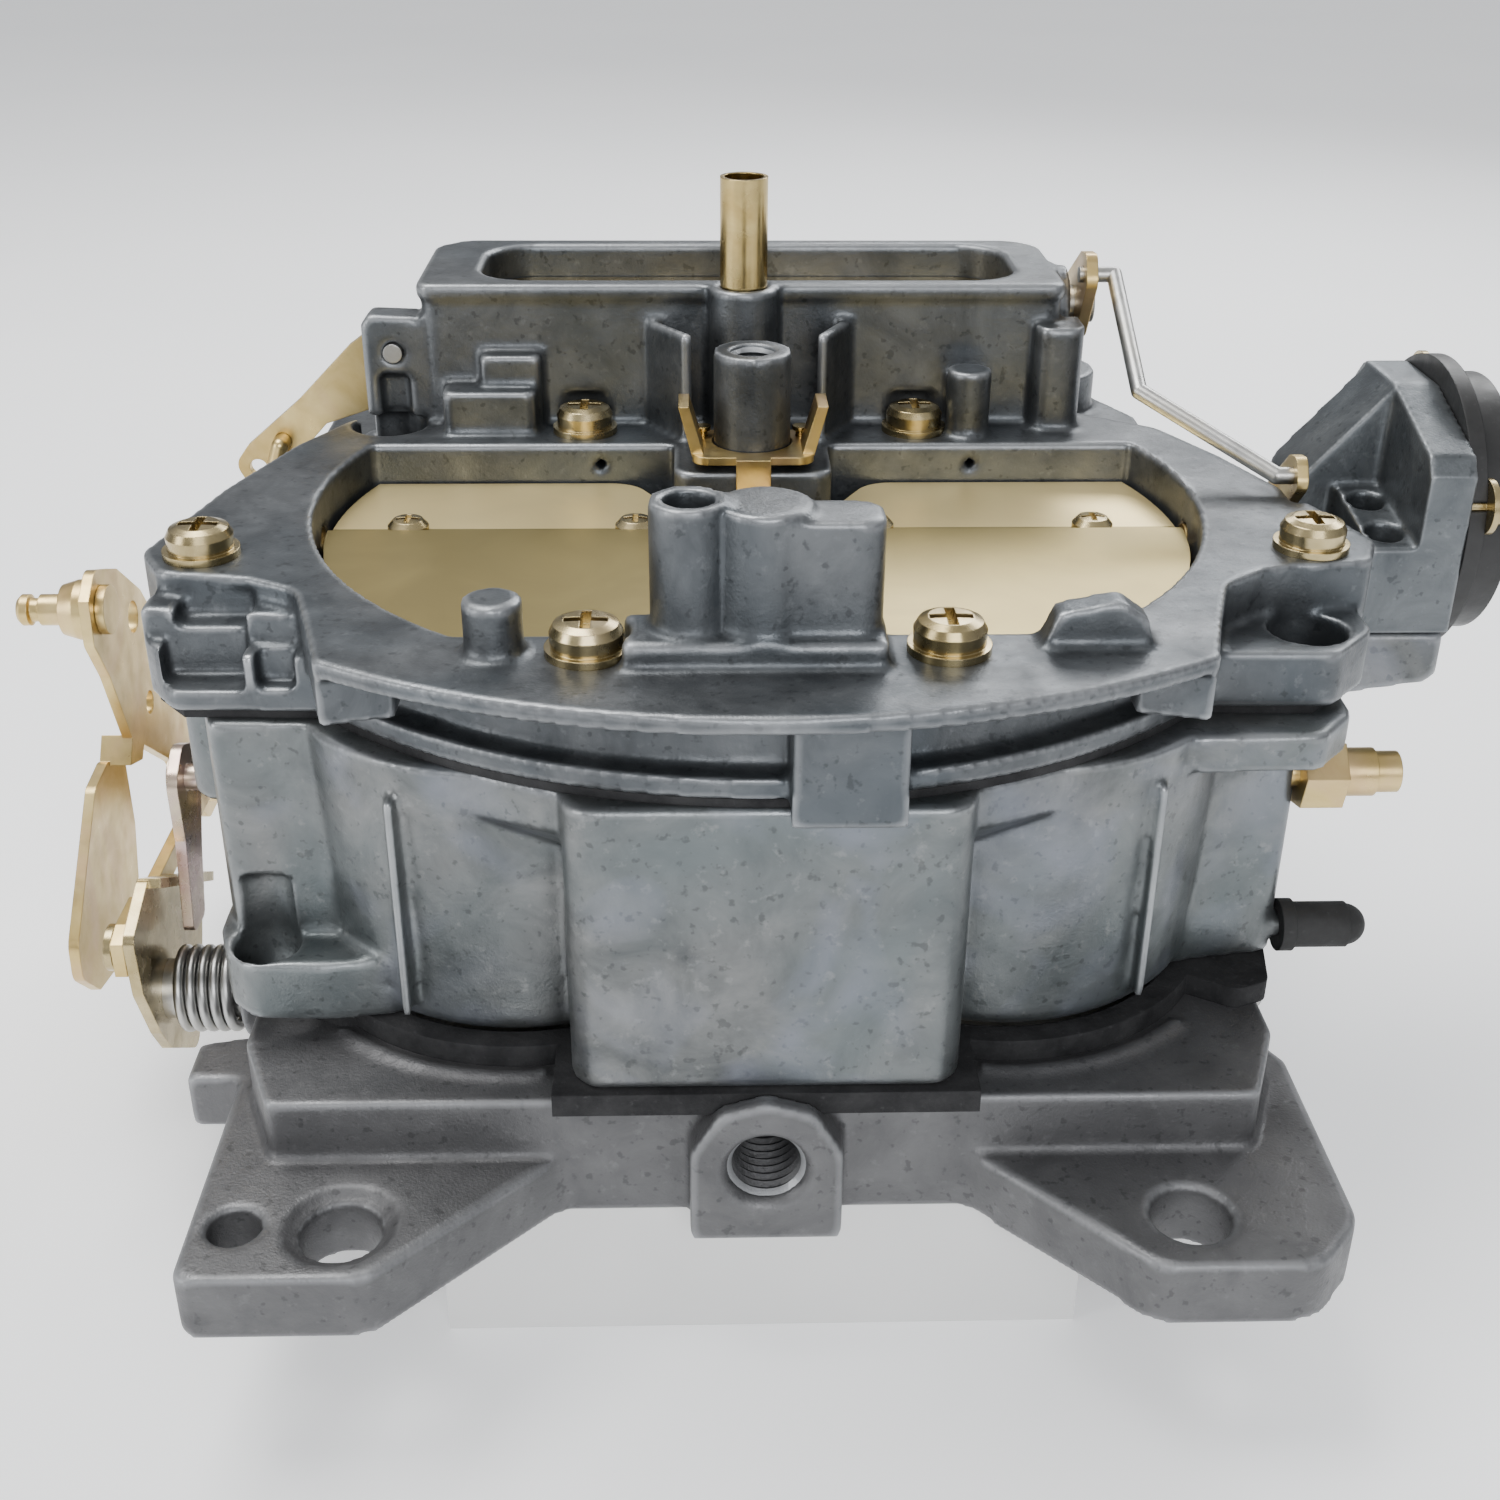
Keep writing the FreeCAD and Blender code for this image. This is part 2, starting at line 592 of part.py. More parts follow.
# ---------------------------------------------------------------- air horn gasket
def air_horn_gasket():
    outline = [(-75, -35.3), (-56, -36), (56, -36), (72, -36.4), (79, -29.6), (79.6, -14),
               (68.4, 8), (68, 40), (68, 64), (61, 79), (-61, 79), (-70.4, 64), (-70.4, 30),
               (-68.6, 8), (-79.4, -14), (-79.4, -30)]
    through = (60.0, 70.0)
    solids = [
        prism("gasket_sheet", "z", outline, (bowl_top, horn_low)),
        clip("gasket_arc", cyl("gasket_disc", "z", 77.9, (bowl_top, horn_low), *rim_arc),
             (-57, 57), (-60.8, -10), through),
    ]
    cuts = [
        clip("gasket_well", cyl("gasket_well_disc", "z", 62.8, through, 0.0, 5.0),
             (-63, 63), (-44.2, 8.8), (59.0, 71.0)),
        box("gasket_chamber", (-43.5, 43.5), (12.9, 27.1), through),
    ]
    for radius, spots in ((pump_rad, [pump_well]), (14.6, pri_bores), (bolt_rad, front_bolts),
                          (screw_rad + 0.2, horn_screws + front_screws)):
        cuts += cyls("gasket_hole", "z", radius, through, spots)
    return cut("air_horn_gasket", solids, cuts)


piece(air_horn_gasket())


# ---------------------------------------------------------------- air horn
def horn_ring():
    """Deck, rear neck and air cleaner seat around the air valve opening."""
    deck = [(-76, -36.3), (-56, -36.8), (56, -37), (74, -37.2), (81, -29.6), (81, -14), (70, 8),
            (69, 40), (69, 64), (62, 80), (-62, 80), (-72, 64), (-72, 30), (-70, 8),
            (-80.5, -14), (-80.5, -30)]
    left = [(-53.8, -52.4), (-57, -41), (-60, -31), (-67, -27), (-79, -25), (-83, -17.5),
            (-80.5, -6), (-77.5, 8), (-71, 28), (-64, 42), (-50, 46), (-45, 46), (-45, -50)]
    right = [(45, -50), (45, 46), (52, 46), (66, 36), (72.6, 21.8), (78.6, 5), (82, -5),
             (85, -15), (82, -22.5), (67, -25), (60.5, -30), (57, -41), (53.8, -52.4)]
    solids = [
        prism("deck", "z", deck, (horn_low, ear_top), {3: [0, 3], 6: [4], 4: [5, 14, 15],
                                                       5: [9, 10]}),
        clip("deck_arc", cyl("deck_disc", "z", 78.4, (horn_low, 67.0), *rim_arc),
             (-57, 57), (-61.0, -10), (60.0, 80.0)),
        clip("neck_low", cone("neck_cone", "z", 75.5, 74.5, (67.0, 72.0), 0.0, 18.0),
             (-56, 56), (-62.0, -10), (60.0, 90.0)),
        clip("neck_flare", cone("flare_cone", "z", 76.4, 86.0, (71.4, 76.9), 0.0, 21.5),
             (-54.5, 54.5), (-66.0, -10), (60.0, 90.0)),
        clip("rear_ledge", cyl("ledge_disc", "z", 98.0, (76.6, seat_top), 0.0, 29.2),
             (-54, 54), (-70.0, -10), (60.0, 90.0)),
        prism("seat_left", "z", left, (70.0, seat_top), {3: [1, 4], 4: [5], 6: [9], 5: [2]}),
        prism("seat_right", "z", right, (70.0, seat_top), {3: [8, 11], 4: [7], 6: [3], 5: [10]}),
        prism("seat_front", "z", [(-50, 26), (50, 26), (50, 72), (-50, 72)],
              (horn_low, seat_top)),
        *cyls("bolt_boss", "z", 8.6, (horn_low, seat_top), front_bolts),
    ]
    return cut("horn_ring", solids, [
        clip("valve_opening", cyl("opening_disc", "z", 63.6, (60.0, 82.0), *opening),
             (-70, 70), (-45.5, 27.3), (55.0, 85.0))])


def horn_upper():
    """Choke tower, bosses, posts and rear blocks."""
    corners = {2.5: [0, 1], 7: [2, 3]}
    tower = [(-51.8, 38), (49.5, 38), (49.5, 70), (-51.8, 70)]
    lip = [(-52.4, 37.5), (50.1, 37.5), (50.1, 70.5), (-52.4, 70.5)]
    pivot = [(-61.4, 70.0), (-51.0, 70.0), (-51.0, 96.0), (-60.0, 96.5), (-61.4, 95.0)]
    wedge = [(32.5, 78.0), (46.5, 78.0), (45.5, 82.5), (42.0, 85.0), (34.5, 83.4)]
    return [
        clip("chamber_roof", cyl("roof_disc", "z", 64.0, (horn_low, 67.0), *opening),
             (-66, 66), (9.4, 29.0), (60.0, 70.0)),
        prism("valve_web", "z", [(-12, 13.5), (12, 13.5), (12, 30), (-12, 30)],
              (horn_low, seat_top), {3: [0, 1]}),
        prism("choke_tower", "z", tower, (70.0, tower_top), corners),
        prism("tower_lip", "z", lip, (99.4, tower_top), corners),
        cyl("stud_boss", "z", 5.9, (horn_low, stud_top), *stud),
        cyl("vent_boss", "z", 5.4, (70.0, tower_top), *vent),
        box("stud_rib", (-2.2, 2.2), (27.45, 39.0), (seat_top, 91.0)),
        prism("fin_left", "z", [(-16.9, 38.5), (-14.9, 38.5), (-8.9, 29.4), (-10.3, 28.6)],
              (seat_top - 1, 96.0)),
        prism("fin_right", "z", [(16.5, 38.5), (14.5, 38.5), (10.0, 29.4), (11.4, 28.6)],
              (seat_top - 1, 96.0)),
        prism("tower_rear_block", "z", [(-48.5, 31.6), (-33.8, 31.6), (-33.8, 39), (-48.5, 39)],
              (74.0, 86.0), {1.5: [0, 1]}),
        prism("tower_rear_step", "z", [(-42.6, 34.6), (-33.0, 34.6), (-33.0, 39), (-42.6, 39)],
              (80.0, 91.0), {1: [0, 1]}),
        cyl("round_post", "z", 3.5, (72.0, 89.5), 34.6, 33.0),
        box("round_post_web", (32.0, 37.2), (33.0, 39.0), (72.0, 87.5)),
        prism("square_post", "z", [(45.2, 33.5), (52.8, 33.5), (52.8, 42), (45.2, 42)],
              (72.0, 95.5), {2.5: [0, 1]}),
        prism("pump_pivot_boss", "y", pivot, (38.5, 44.8)),
        prism("rear_step", "z", [(-17.3, -56.4), (13.9, -56.4), (13.9, -46.5), (-17.3, -46.5)],
              (seat_top - 1, 82.4), {1: [0, 1]}),
        cyl("rear_block_round", "z", 4.7, (seat_top, 98.0), -9.4, -50.2),
        cyl("rear_block_middle", "z", 5.6, (seat_top, 97.6), -0.6, -50.0),
        prism("rear_block_right", "z",
              [(-4.0, -54.6), (13.4, -54.6), (13.4, -46.4), (-6.0, -46.4)],
              (seat_top, 96.6), {3: [1, 2]}),
        box("rear_block_fill", (-9.4, 0.0), (-52.6, -47.0), (seat_top, 96.6)),
        prism("rear_tab", "z", [(2.4, -63.6), (16.2, -63.6), (16.2, -57), (2.4, -57)],
              (horn_low, 77.0), {1: [0, 1]}),
        prism("rear_tab_low", "z",
              [(2.4, -63.6), (16.2, -63.6), (16.2, -61.15), (2.4, -61.15)], (61.6, 66.0)),
        cyl("ledge_peg", "z", 3.6, (seat_top - 1, 86.0), -32.6, -50.4),
        prism("ledge_wedge", "y", wedge, (-50.5, -46.2)),
        cyl("pump_stem_boss", "z", 4.2, (horn_low, 73.6), *pump_well),
        prism("left_ear_rib", "z", [(-80.5, -30), (-56, -33), (-56, -27), (-80.5, -25)],
              (ear_top - 1, 76.0)),
        cyl("choke_boss_left", "x", 6.2, (-52.4, -48.0), *choke_axis),
        cyl("choke_boss_right", "x", 6.2, (46.0, 52.5), *choke_axis),
    ]


def horn_cuts():
    choke_bore = [(-43, 41.5), (43, 41.5), (43, 66.5), (-43, 66.5)]
    return [
        prism("choke_bore", "z", choke_bore, (60.0, 110.0), {8: [0, 1, 2, 3]}),
        cyl("stud_thread", "z", stud_rad, (stud_top - 18, stud_top + 2), *stud),
        cyl("vent_hole", "z", 3.38, (92.0, 110.0), *vent),
        cyl("vent_channel", "z", 2.4, (60.0, 93.0), *vent),
        cyl("round_block_hole", "z", 3.0, (82.0, 99.0), -9.4, -50.2),
        cyl("valve_shaft_bore", "x", valve_rad + running, (-72.0, 72.0), *valve_axis),
        cyl("choke_shaft_bore", "x", choke_rad + running, (-60.0, 60.0), *choke_axis),
        cyl("seat_hole", "z", 6.0, (68.0, 80.0), -58.0, 38.6),
        cyl("right_ear_hole", "z", 5.3, (60.0, 80.0), 72.3, -29.0),
        box("left_ear_pocket", (-77.5, -66.5), (-40.0, -30.5), (67.0, 77.0)),
        box("small_ear_pocket", (-65.0, -60.0), (-40.0, -33.5), (67.5, 77.0)),
        box("left_seat_pocket", (-76.0, -66.0), (-31.0, -26.2), (73.5, 77.6)),
        cyl("pump_stem_hole", "z", 1.6, (60.0, 85.0), *pump_well),
        cyl("pump_pivot_hole", "y", 1.55, (30.0, 50.0), *pump_pivot),
        box("pump_pivot_slot", (-59.0, -54.4), (38.4, 40.4), (80.0, 87.0)),
        box("lower_choke_bore", (-39.5, 39.5), (40.0, 66.0), (60.0, 70.0)),
        *cyls("wall_port", "y", 0.8, (26.0, 34.0), [(-23.6, 75.6), (34.6, 75.6)]),
        *cyls("horn_bolt_hole", "z", bolt_rad, (60.0, 110.0), front_bolts),
        *cyls("hanger_rod_hole", "z", 1.25, (60.0, 82.0), sec_jets),
        *cyls("horn_screw_hole", "z", screw_rad + 0.2, (60.0, 82.0),
              horn_screws + front_screws),
        *cyls("front_screw_seat", "z", 5.6, (ear_top, 82.0), front_screws),
        *cyls("horn_screw_relief", "z", 5.25, (seat_top, seat_top + 5.2), horn_screws),
        box("lever_relief", (78.1, 90.0), (0.5, 20.0), (60.0, 90.0)),
        box("pump_lever_relief", (-75.0, -65.5), (48.6, 51.4), (67.0, 73.5)),
    ]


piece(cut("air_horn", [horn_ring()] + horn_upper(), horn_cuts()))
piece(cut("vent_tube", [
    cyl("vent_root", "z", 3.35, (92.1, 102.0), *vent),
    cyl("vent_outside", "z", 3.7, (tower_top, 118.0), *vent),
], [
    cyl("vent_inside", "z", 2.75, (90.0, 104.0), *vent),
    cyl("vent_mouth", "z", 3.05, (103.0, 120.0), *vent),
]))


# ---------------------------------------------------------------- casting screws
def horn_screw(name, length):
    """Pan head screw with a captive washer; Z = 0 is under the washer."""
    return turned(name, [
        (0, -length), (1.5, -length), (2.0, 0.6 - length), (2.0, 0.0), (5.1, 0.0), (5.1, 1.0),
        (4.35, 1.05), (4.45, 2.9), (3.9, 3.9), (2.8, 4.35), (0, 4.5)], (2.6, 0.62, 1.9))


piece(group("air_horn_screws",
            links("long_horn_screw", horn_screw("long_screw", 25.6),
                  [(x, y, seat_top) for x, y in horn_screws])
            + links("front_horn_screw", horn_screw("front_screw", 18.6),
                    [(x, y, ear_top) for x, y in front_screws])))
base_screw = turned("base_screw", [
    (0, -26.8), (2.0, -26.8), (2.0, 0.0), (4.3, 0.0), (4.3, 2.6), (3.4, 3.6), (0, 3.9)],
    (2.4, 0.6, 1.7))
piece(copies("throttle_body_screws", base_screw, [(x, y, 5.0) for x, y in base_screws], "-z"))

# ---------------------------------------------------------------- air valve
flat_z = valve_z + 1.2  # flat of the shaft, on which the plates lie
piece(cut("air_valve_shaft", cyl("valve_rod", "x", valve_rad, (-71.0, 71.0), *valve_axis), [
    box("valve_flat", (-63.7, 63.9), (0.0, 12.0), (flat_z, 76.0)),
    *cyls("valve_tap", "z", 1.15, (65.0, 75.0), valve_screws)]))


def air_valve_plates():
    """Front plates low, rear plates high, with a joggle between them, trimmed round."""
    front = [(70, 1.4), (13.4, 1.4), (13.4, 17), (18.5, 26.6), (70, 26.6)]
    rear = [(70, -43.2), (9.8, -43.2), (9.8, 2.5), (70, 2.5)]
    plates = both("valve_front", "z", front, (flat_z, flat_z + 1.1), {6: [3]})
    plates += both("valve_rear", "z", rear, (flat_z + 1.4, flat_z + 2.5))
    plates += [box("valve_joggle", span, (1.4, 2.5), (flat_z, flat_z + 2.5))
               for span in ((-70, -13.4), (13.4, 70))]
    disc = cyl("valve_plate_disc", "z", 62.5, (60.0, 80.0), *opening)
    trimmed = common("valve_plates_trim", [fuse("valve_plates_raw", plates), disc])
    return cut("air_valve_plates", trimmed,
               cyls("valve_plate_hole", "z", 1.3, (60.0, 80.0), valve_screws))


piece(air_valve_plates())
valve_screw = turned("valve_screw", [
    (0, -2.6), (1.1, -2.6), (1.1, 0.0), (3.0, 0.0), (3.0, 0.9), (2.2, 1.8), (0, 2.1)],
    (1.7, 0.4, 0.9))
piece(copies("air_valve_screws", valve_screw, [(x, y, flat_z + 1.1) for x, y in valve_screws]))
cam_outline = [(1.6, 67.8), (6, 66.2), (10.8, 68.2), (11.6, 71.5), (9, 75.4), (4.5, 75.2),
               (1.2, 72.0)]
piece(cut("air_valve_cam",
          prism("cam_body", "x", cam_outline, (-3.4, 3.4), {1: [0, 2, 3, 4, 5, 6]}),
          [cut("cam_bore", cyl("cam_bore_round", "x", valve_rad + 0.02, (-5.0, 5.0), *valve_axis),
               [box("cam_flat", (-6.0, 6.0), (0.0, 12.0), (flat_z + 0.02, 76.0))])]))

# Hanger of the secondary metering rods, around the air cleaner stud boss.
hanger_plate = [(-9.2, 13.6), (9.2, 13.6), (9.2, 27.2), (-9.2, 27.2)]
hanger_wing = [(9.2, 81.0), (7.4, 81.0), (9.6, 88.6), (11.2, 88.6)]
piece(cut("metering_rod_hanger", [
    prism("hanger_plate", "z", hanger_plate, (80.2, 81.4), {2.5: [0, 1, 2, 3]}),
    *both("hanger_wing", "y", hanger_wing, (15.5, 22.4)),
    box("hanger_drop", (-2.6, 2.6), (12.2, 13.4), (76.6, 81.4)),
    box("hanger_neck", (-2.6, 2.6), (12.2, 15.0), (80.2, 81.4)),
    box("hanger_finger", (-2.6, 2.6), (5.0, 13.0), (75.7, 76.9)),
], [
    cyl("hanger_bore", "z", 6.15, (70.0, 95.0), *stud),
    *cyls("hanger_eye", "z", 0.85, (70.0, 95.0), sec_jets),
]))
secondary_rod = turned("secondary_rod", [
    (0, -54.0), (0.5, -54.0), (0.7, -44.0), (1.1, -40.0), (1.1, -0.8), (0.8, -0.8), (0.8, 1.4),
    (1.3, 1.4), (1.3, 2.0), (0, 2.0)])
piece(copies("secondary_metering_rods", secondary_rod, [(x, y, 81.0) for x, y in sec_jets]))

# ---------------------------------------------------------------- throttle shafts and plates
plate_screw = turned("plate_screw", [
    (0, -4.2), (1.2, -4.2), (1.2, 0.0), (2.6, 0.0), (2.6, 0.8), (1.9, 1.5), (0, 1.8)],
    (1.5, 0.35, 0.8))


def throttle(name, rods, bores, flat_half, flat_y, plate_rad, plate_thick, screw_offset):
    """Shaft with a flat in each bore, its two round plates and their screws."""
    plate_top = throttle_z + plate_thick
    plates = []
    screws = []
    for x, y in bores:
        pair = [(x + offset, y) for offset in (-screw_offset, screw_offset)]
        plates.append(cut(name + "_plate",
                          cyl(name + "_disc", "z", plate_rad, (throttle_z, plate_top), x, y),
                          cyls(name + "_plate_hole", "z", 1.4, (5.0, 15.0), pair)))
        screws += pair
    flats = [box(name + "_flat", (x - flat_half, x + flat_half), flat_y, (throttle_z, 20.0))
             for x, y in bores]
    taps = cyls(name + "_tap", "z", 1.25, (4.0, 12.0), screws)
    piece(cut(name + "_throttle_shaft", rods, flats + taps))
    piece(group(name + "_throttle_plates", plates))
    piece(copies(name + "_throttle_screws", plate_screw, [(x, y, plate_top) for x, y in screws]))


throttle("primary", [
    cyl("pri_rod", "x", throttle_rad, (-101.2, 78.0), *pri_axis),
    cyl("pri_stub", "x", 5.6, (-102.4, -100.65), *pri_axis),
], pri_bores, flat_half=17.6, flat_y=(40.0, 64.0), plate_rad=17.3, plate_thick=1.2,
    screw_offset=7.0)
throttle("secondary", [cyl("sec_rod", "x", throttle_rad, (-91.6, 76.5), *sec_axis)],
         sec_bores, flat_half=28.8, flat_y=(-30.0, -8.0), plate_rad=28.45, plate_thick=1.4,
         screw_offset=10.0)


# ---------------------------------------------------------------- throttle levers, left side
def throttle_lever():
    """Plate with a lower arm on its outer side, joined by a bridge."""
    plate = [(3.7, 55.5), (8.1, 48.4), (13.3, 35.2), (31.6, 21.2), (41, 8), (47, 1), (56, 1),
             (61, 9), (58, 17), (48, 24), (41, 31), (36, 38), (31.3, 43.3), (33.6, 47.5),
             (28.6, 54.4), (19, 61.9), (9.2, 65.6), (4.4, 62.4)]
    arm = [(10, 32.5), (18, 29), (17.7, 17), (14, 5), (9, 7), (-0.1, 1), (-10, 2.8),
           (-16, 8.8), (-15.4, 14.6), (2.9, 31.6)]
    through = (-102.0, -97.0)
    return cut("throttle_lever", [
        prism("lever_plate", "x", plate, (-100.6, -99.0),
              {2: [0, 12, 13], 4: [5, 6, 8], 3: [7, 15, 16]}),
        prism("lever_arm", "x", arm, (-104.0, -102.4),
              {2.5: [0, 1, 9], 3: [5, 7, 8], 1.5: [3, 4]}),
        prism("lever_bridge", "x", [(10.6, 31.6), (16.5, 29.6), (18.5, 31.4), (13.8, 35.4)],
              (-104.0, -99.0)),
        prism("lever_flange", "x", [(31.6, 21.2), (41, 8), (42.4, 9), (33.0, 22.2)],
              (-99.2, -94.6)),
        cyl("arm_emboss", "x", 4.2, (-105.0, -103.8), -7.6, 10.2),
    ], [
        cyl("lever_shaft_hole", "x", lever_bore, (-106.0, -96.0), *pri_axis),
        cyl("lever_stud_hole", "x", 2.42, through, *lever_stud),
        cyl("lever_cable_hole", "x", 2.6, through, 23.0, 52.0),
        cyl("lever_low_hole", "x", 2.0, through, 24.5, 36.0),
    ])


def link_pin(spot):
    return [cyl("link_pin", "x", 2.0, (-93.2, -89.0), *spot),
            cyl("link_pin_head", "x", 3.4, (-93.6, -92.5), *spot)]


def shaft_lever(name, solids, axis):
    return cut(name, solids, [cyl(name + "_hole", "x", lever_bore, (-95.0, -75.0), *axis)])


piece(throttle_lever())
ball_stud = turned("ball_stud", [
    (0, -3.0), (3.8, -3.0), (3.8, -1.65), (2.4, -1.6), (2.4, 0.0), (4.6, 0.0), (4.6, 1.6),
    (3.9, 3.9), (2.4, 3.9), (2.4, 7.4), (1.8, 7.6), (1.8, 8.8), (2.4, 9.0), (2.4, 10.2),
    (1.8, 10.8), (0, 10.8)])
piece(copies("throttle_lever_stud", ball_stud, [(-100.6, *lever_stud)], "-x"))
drive_plate = [(41.6, 20.0), (43.0, 25.0), (47.5, 24.8), (60.0, 12.0), (60.0, 5.0),
               (54.0, 1.0), (46.0, 3.0)]
piece(shaft_lever("secondary_drive_lever", [
    prism("drive_plate", "x", drive_plate, (-90.0, -88.4), {2: [0, 1, 2], 4: [3, 4, 5]}),
    *link_pin(front_pin)], pri_axis))
secondary_plate = [(-20.6, 29.6), (-31.0, 25.6), (-30.5, 16.0), (-26, 6.0), (-22.5, 0.7),
                   (-10.4, -8.3), (-2, 3.6), (4.5, 15.5)]
secondary_tab = [(-20.6, 29.6), (4.5, 15.5), (3.8, 14.2), (-21.3, 28.3)]
piece(shaft_lever("secondary_lever", [
    prism("sec_lever_plate", "x", secondary_plate, (-90.0, -88.4),
          {2: [0, 1, 2], 3: [5, 6, 7]}),
    prism("sec_lever_tab", "x", secondary_tab, (-90.0, -86.6)),
    *link_pin(rear_pin)], sec_axis))
link_bar = [(-29.6, 18.6), (-26, 17.4), (45, 17.4), (48.8, 18.8), (48.8, 23.9), (45, 25.2),
            (-26, 25.2), (-29.6, 24.0)]
waist_low = [(-20, 16), (39, 16), (36, 19.6), (-17, 19.6)]
waist_high = [(-20, 27), (39, 27), (36, 23.2), (-17, 23.2)]
piece(cut("secondary_link", prism("link_bar", "x", link_bar, (-92.3, -90.5)), [
    *cyls("link_eye", "x", 2.05, (-95.0, -88.0), (front_pin, rear_pin)),
    prism("link_waist_low", "x", waist_low, (-95.0, -88.0)),
    prism("link_waist_high", "x", waist_high, (-95.0, -88.0))]))
piece(coil("secondary_return_spring", "x", 0.8, 5.8, 1.75, (-87.6, -77.0), *sec_axis))
idle_plate = [(46.0, 16.0), (46.0, 24.0), (48.5, 24.0), (60.0, 13.0), (60.0, 5.0), (54.0, 1.0),
              (46.0, 3.0), (43.5, 9.0)]
piece(shaft_lever("idle_stop_lever", [
    prism("idle_plate", "x", idle_plate, (-80.6, -79.0), {4: [3, 4, 5]}),
    box("idle_tang", (-80.0, -72.6), (46.0, 47.6), (16.0, 24.0))], pri_axis))
lockout_plate = [(-17, 17.5), (-10.5, 17.0), (-7.0, 27.0), (-3.6, 34.0), (-3.4, 43.0),
                 (-9.0, 45.4), (-14.4, 42.0), (-14.2, 32.0)]
piece(fuse("secondary_lockout_lever", [
    prism("lockout_plate", "x", lockout_plate, (-85.8, -84.2), {1.5: [0, 1], 3: [4, 5, 6]}),
    cyl("lockout_pin", "x", 2.0, (-85.0, -66.2), *lockout),
    cyl("lockout_pin_head", "x", 3.4, (-86.4, -85.6), *lockout)]))

# ---------------------------------------------------------------- adjusting screws
speed_screw = turned("speed_screw", [
    (0, 0.0), (1.4, 0.0), (2.0, 0.7), (2.0, 27.6), (4.2, 27.6), (4.2, 31.4), (3.6, 32.0),
    (0, 32.0)], (2.6, 0.5, 1.6))
piece(copies("idle_speed_screw", speed_screw, [(idle_screw[0], 45.96, idle_screw[1])], "-y"))
mixture_screw = turned("mixture_screw", [
    (0, 0.0), (0.3, 0.0), (1.2, 5.0), (2.0, 6.0), (2.0, 20.6), (3.8, 20.6), (3.8, 25.0),
    (3.3, 25.6), (0, 25.6)], (2.4, 0.45, 1.4))
for side_name, (x, z) in zip(("left", "right"), mix_screws):
    piece(copies("mixture_screw_" + side_name, mixture_screw, [(x, 69.8, z)], "y"))
piece(group("adjusting_screw_springs", [
    coil("idle_spring", "y", 0.45, 2.75, 1.5, (18.5, 32.9), *idle_screw),
    *(coil("mix_spring", "y", 0.45, 2.8, 1.5, (84.1, 90.3), *spot) for spot in mix_screws)]))

# ---------------------------------------------------------------- accelerator pump
pump_plate = [(-86.4, 68.6), (-84.5, 64.8), (-81.0, 64.6), (-74.0, 71.8), (-70.4, 75.6),
              (-62.6, 78.2), (-55.6, 85.6), (-53.1, 89.4), (-53.9, 93.0), (-58.0, 94.2),
              (-65.5, 88.8), (-74.7, 79.6), (-84.0, 71.8)]
piece(cut("pump_lever", [
    prism("pump_plate", "y", pump_plate, (49.2, 50.8), {1.5: [1, 2], 2.5: [0, 12],
                                                        2: [7, 8, 9]}),
    cyl("pump_lever_hub", "y", 2.8, (45.0, 49.4), *pump_pivot),
], [
    cyl("pump_lever_bore", "y", 1.52, (40.0, 55.0), *pump_pivot),
    cyl("pump_rod_hole", "y", 1.45, (45.0, 55.0), -78.0, 72.6),
    cyl("pump_spare_hole", "y", 1.45, (45.0, 55.0), -82.6, 68.0),
]))
piece(fuse("pump_lever_pin", [cyl("pump_pin", "y", 1.5, (38.0, 51.8), *pump_pivot),
                              cyl("pump_pin_head", "y", 2.6, (51.0, 52.2), *pump_pivot)]))
piece(bent("pump_rod", 1.4, [
    (-78.0, 53.4, 72.6), (-78.0, 46.4, 72.6), (-82.0, 46.0, 60.0), (-86.6, 50.0, 40.0),
    (-86.6, 58.0, 18.0), (-86.6, 58.0, 14.0)]))
plunger = turned("plunger", [
    (0, 45.0), (6.6, 45.0), (7.42, 44.2), (7.42, 49.6), (6.4, 50.6), (2.6, 51.6), (1.5, 52.4),
    (1.5, 76.4), (1.1, 77.4), (0, 77.7)])
piece(copies("pump_plunger", plunger, [(*pump_well, 0.0)]))
piece(coil("pump_return_spring", "z", 0.7, 5.2, 3.4, (27.05, 44.95), *pump_well))

# ---------------------------------------------------------------- choke
piece(cut("choke_shaft", cyl("choke_rod", "x", choke_rad, (-52.2, 57.0), *choke_axis), [
    box("choke_flat", (-43.2, 43.2), (45.0, 60.0), (choke_z, 100.0)),
    *cyls("choke_screw_tap", "z", 1.15, (90.0, 97.0), choke_screws)]))
choke_outline = [(-42.6, 41.8), (42.6, 41.8), (42.6, 66.2), (-42.6, 66.2)]
piece(cut("choke_plate",
          prism("choke_blade", "z", choke_outline, (choke_z, choke_z + 1.1),
                {7.6: [0, 1, 2, 3]}),
          cyls("choke_plate_hole", "z", 1.3, (90.0, 99.0), choke_screws)))
piece(copies("choke_plate_screws", valve_screw, [(x, y, choke_z + 1.1) for x, y in choke_screws]))
choke_lever = [(40.6, 101.0), (43.0, 105.0), (47.5, 104.6), (57.0, 99.0), (58.2, 93.0),
               (53.0, 89.0), (46.8, 91.0)]
piece(cut("choke_lever",
          prism("choke_lever_plate", "x", choke_lever, (53.6, 55.4),
                {2: [0, 1, 2], 3: [4, 5, 6]}),
          [cyl("choke_lever_hole", "x", choke_rad + 0.02, (50.0, 60.0), *choke_axis),
           cyl("choke_lever_eye", "x", 1.3, (50.0, 60.0), 44.5, 101.5)]))
piece(bent("choke_link", 1.25, [
    (52.9, 44.5, 101.5), (58.6, 44.5, 101.5), (58.6, 20.0, 89.6), (76.4, 4.5, 81.5),
    (80.55, 4.5, 81.5)]))


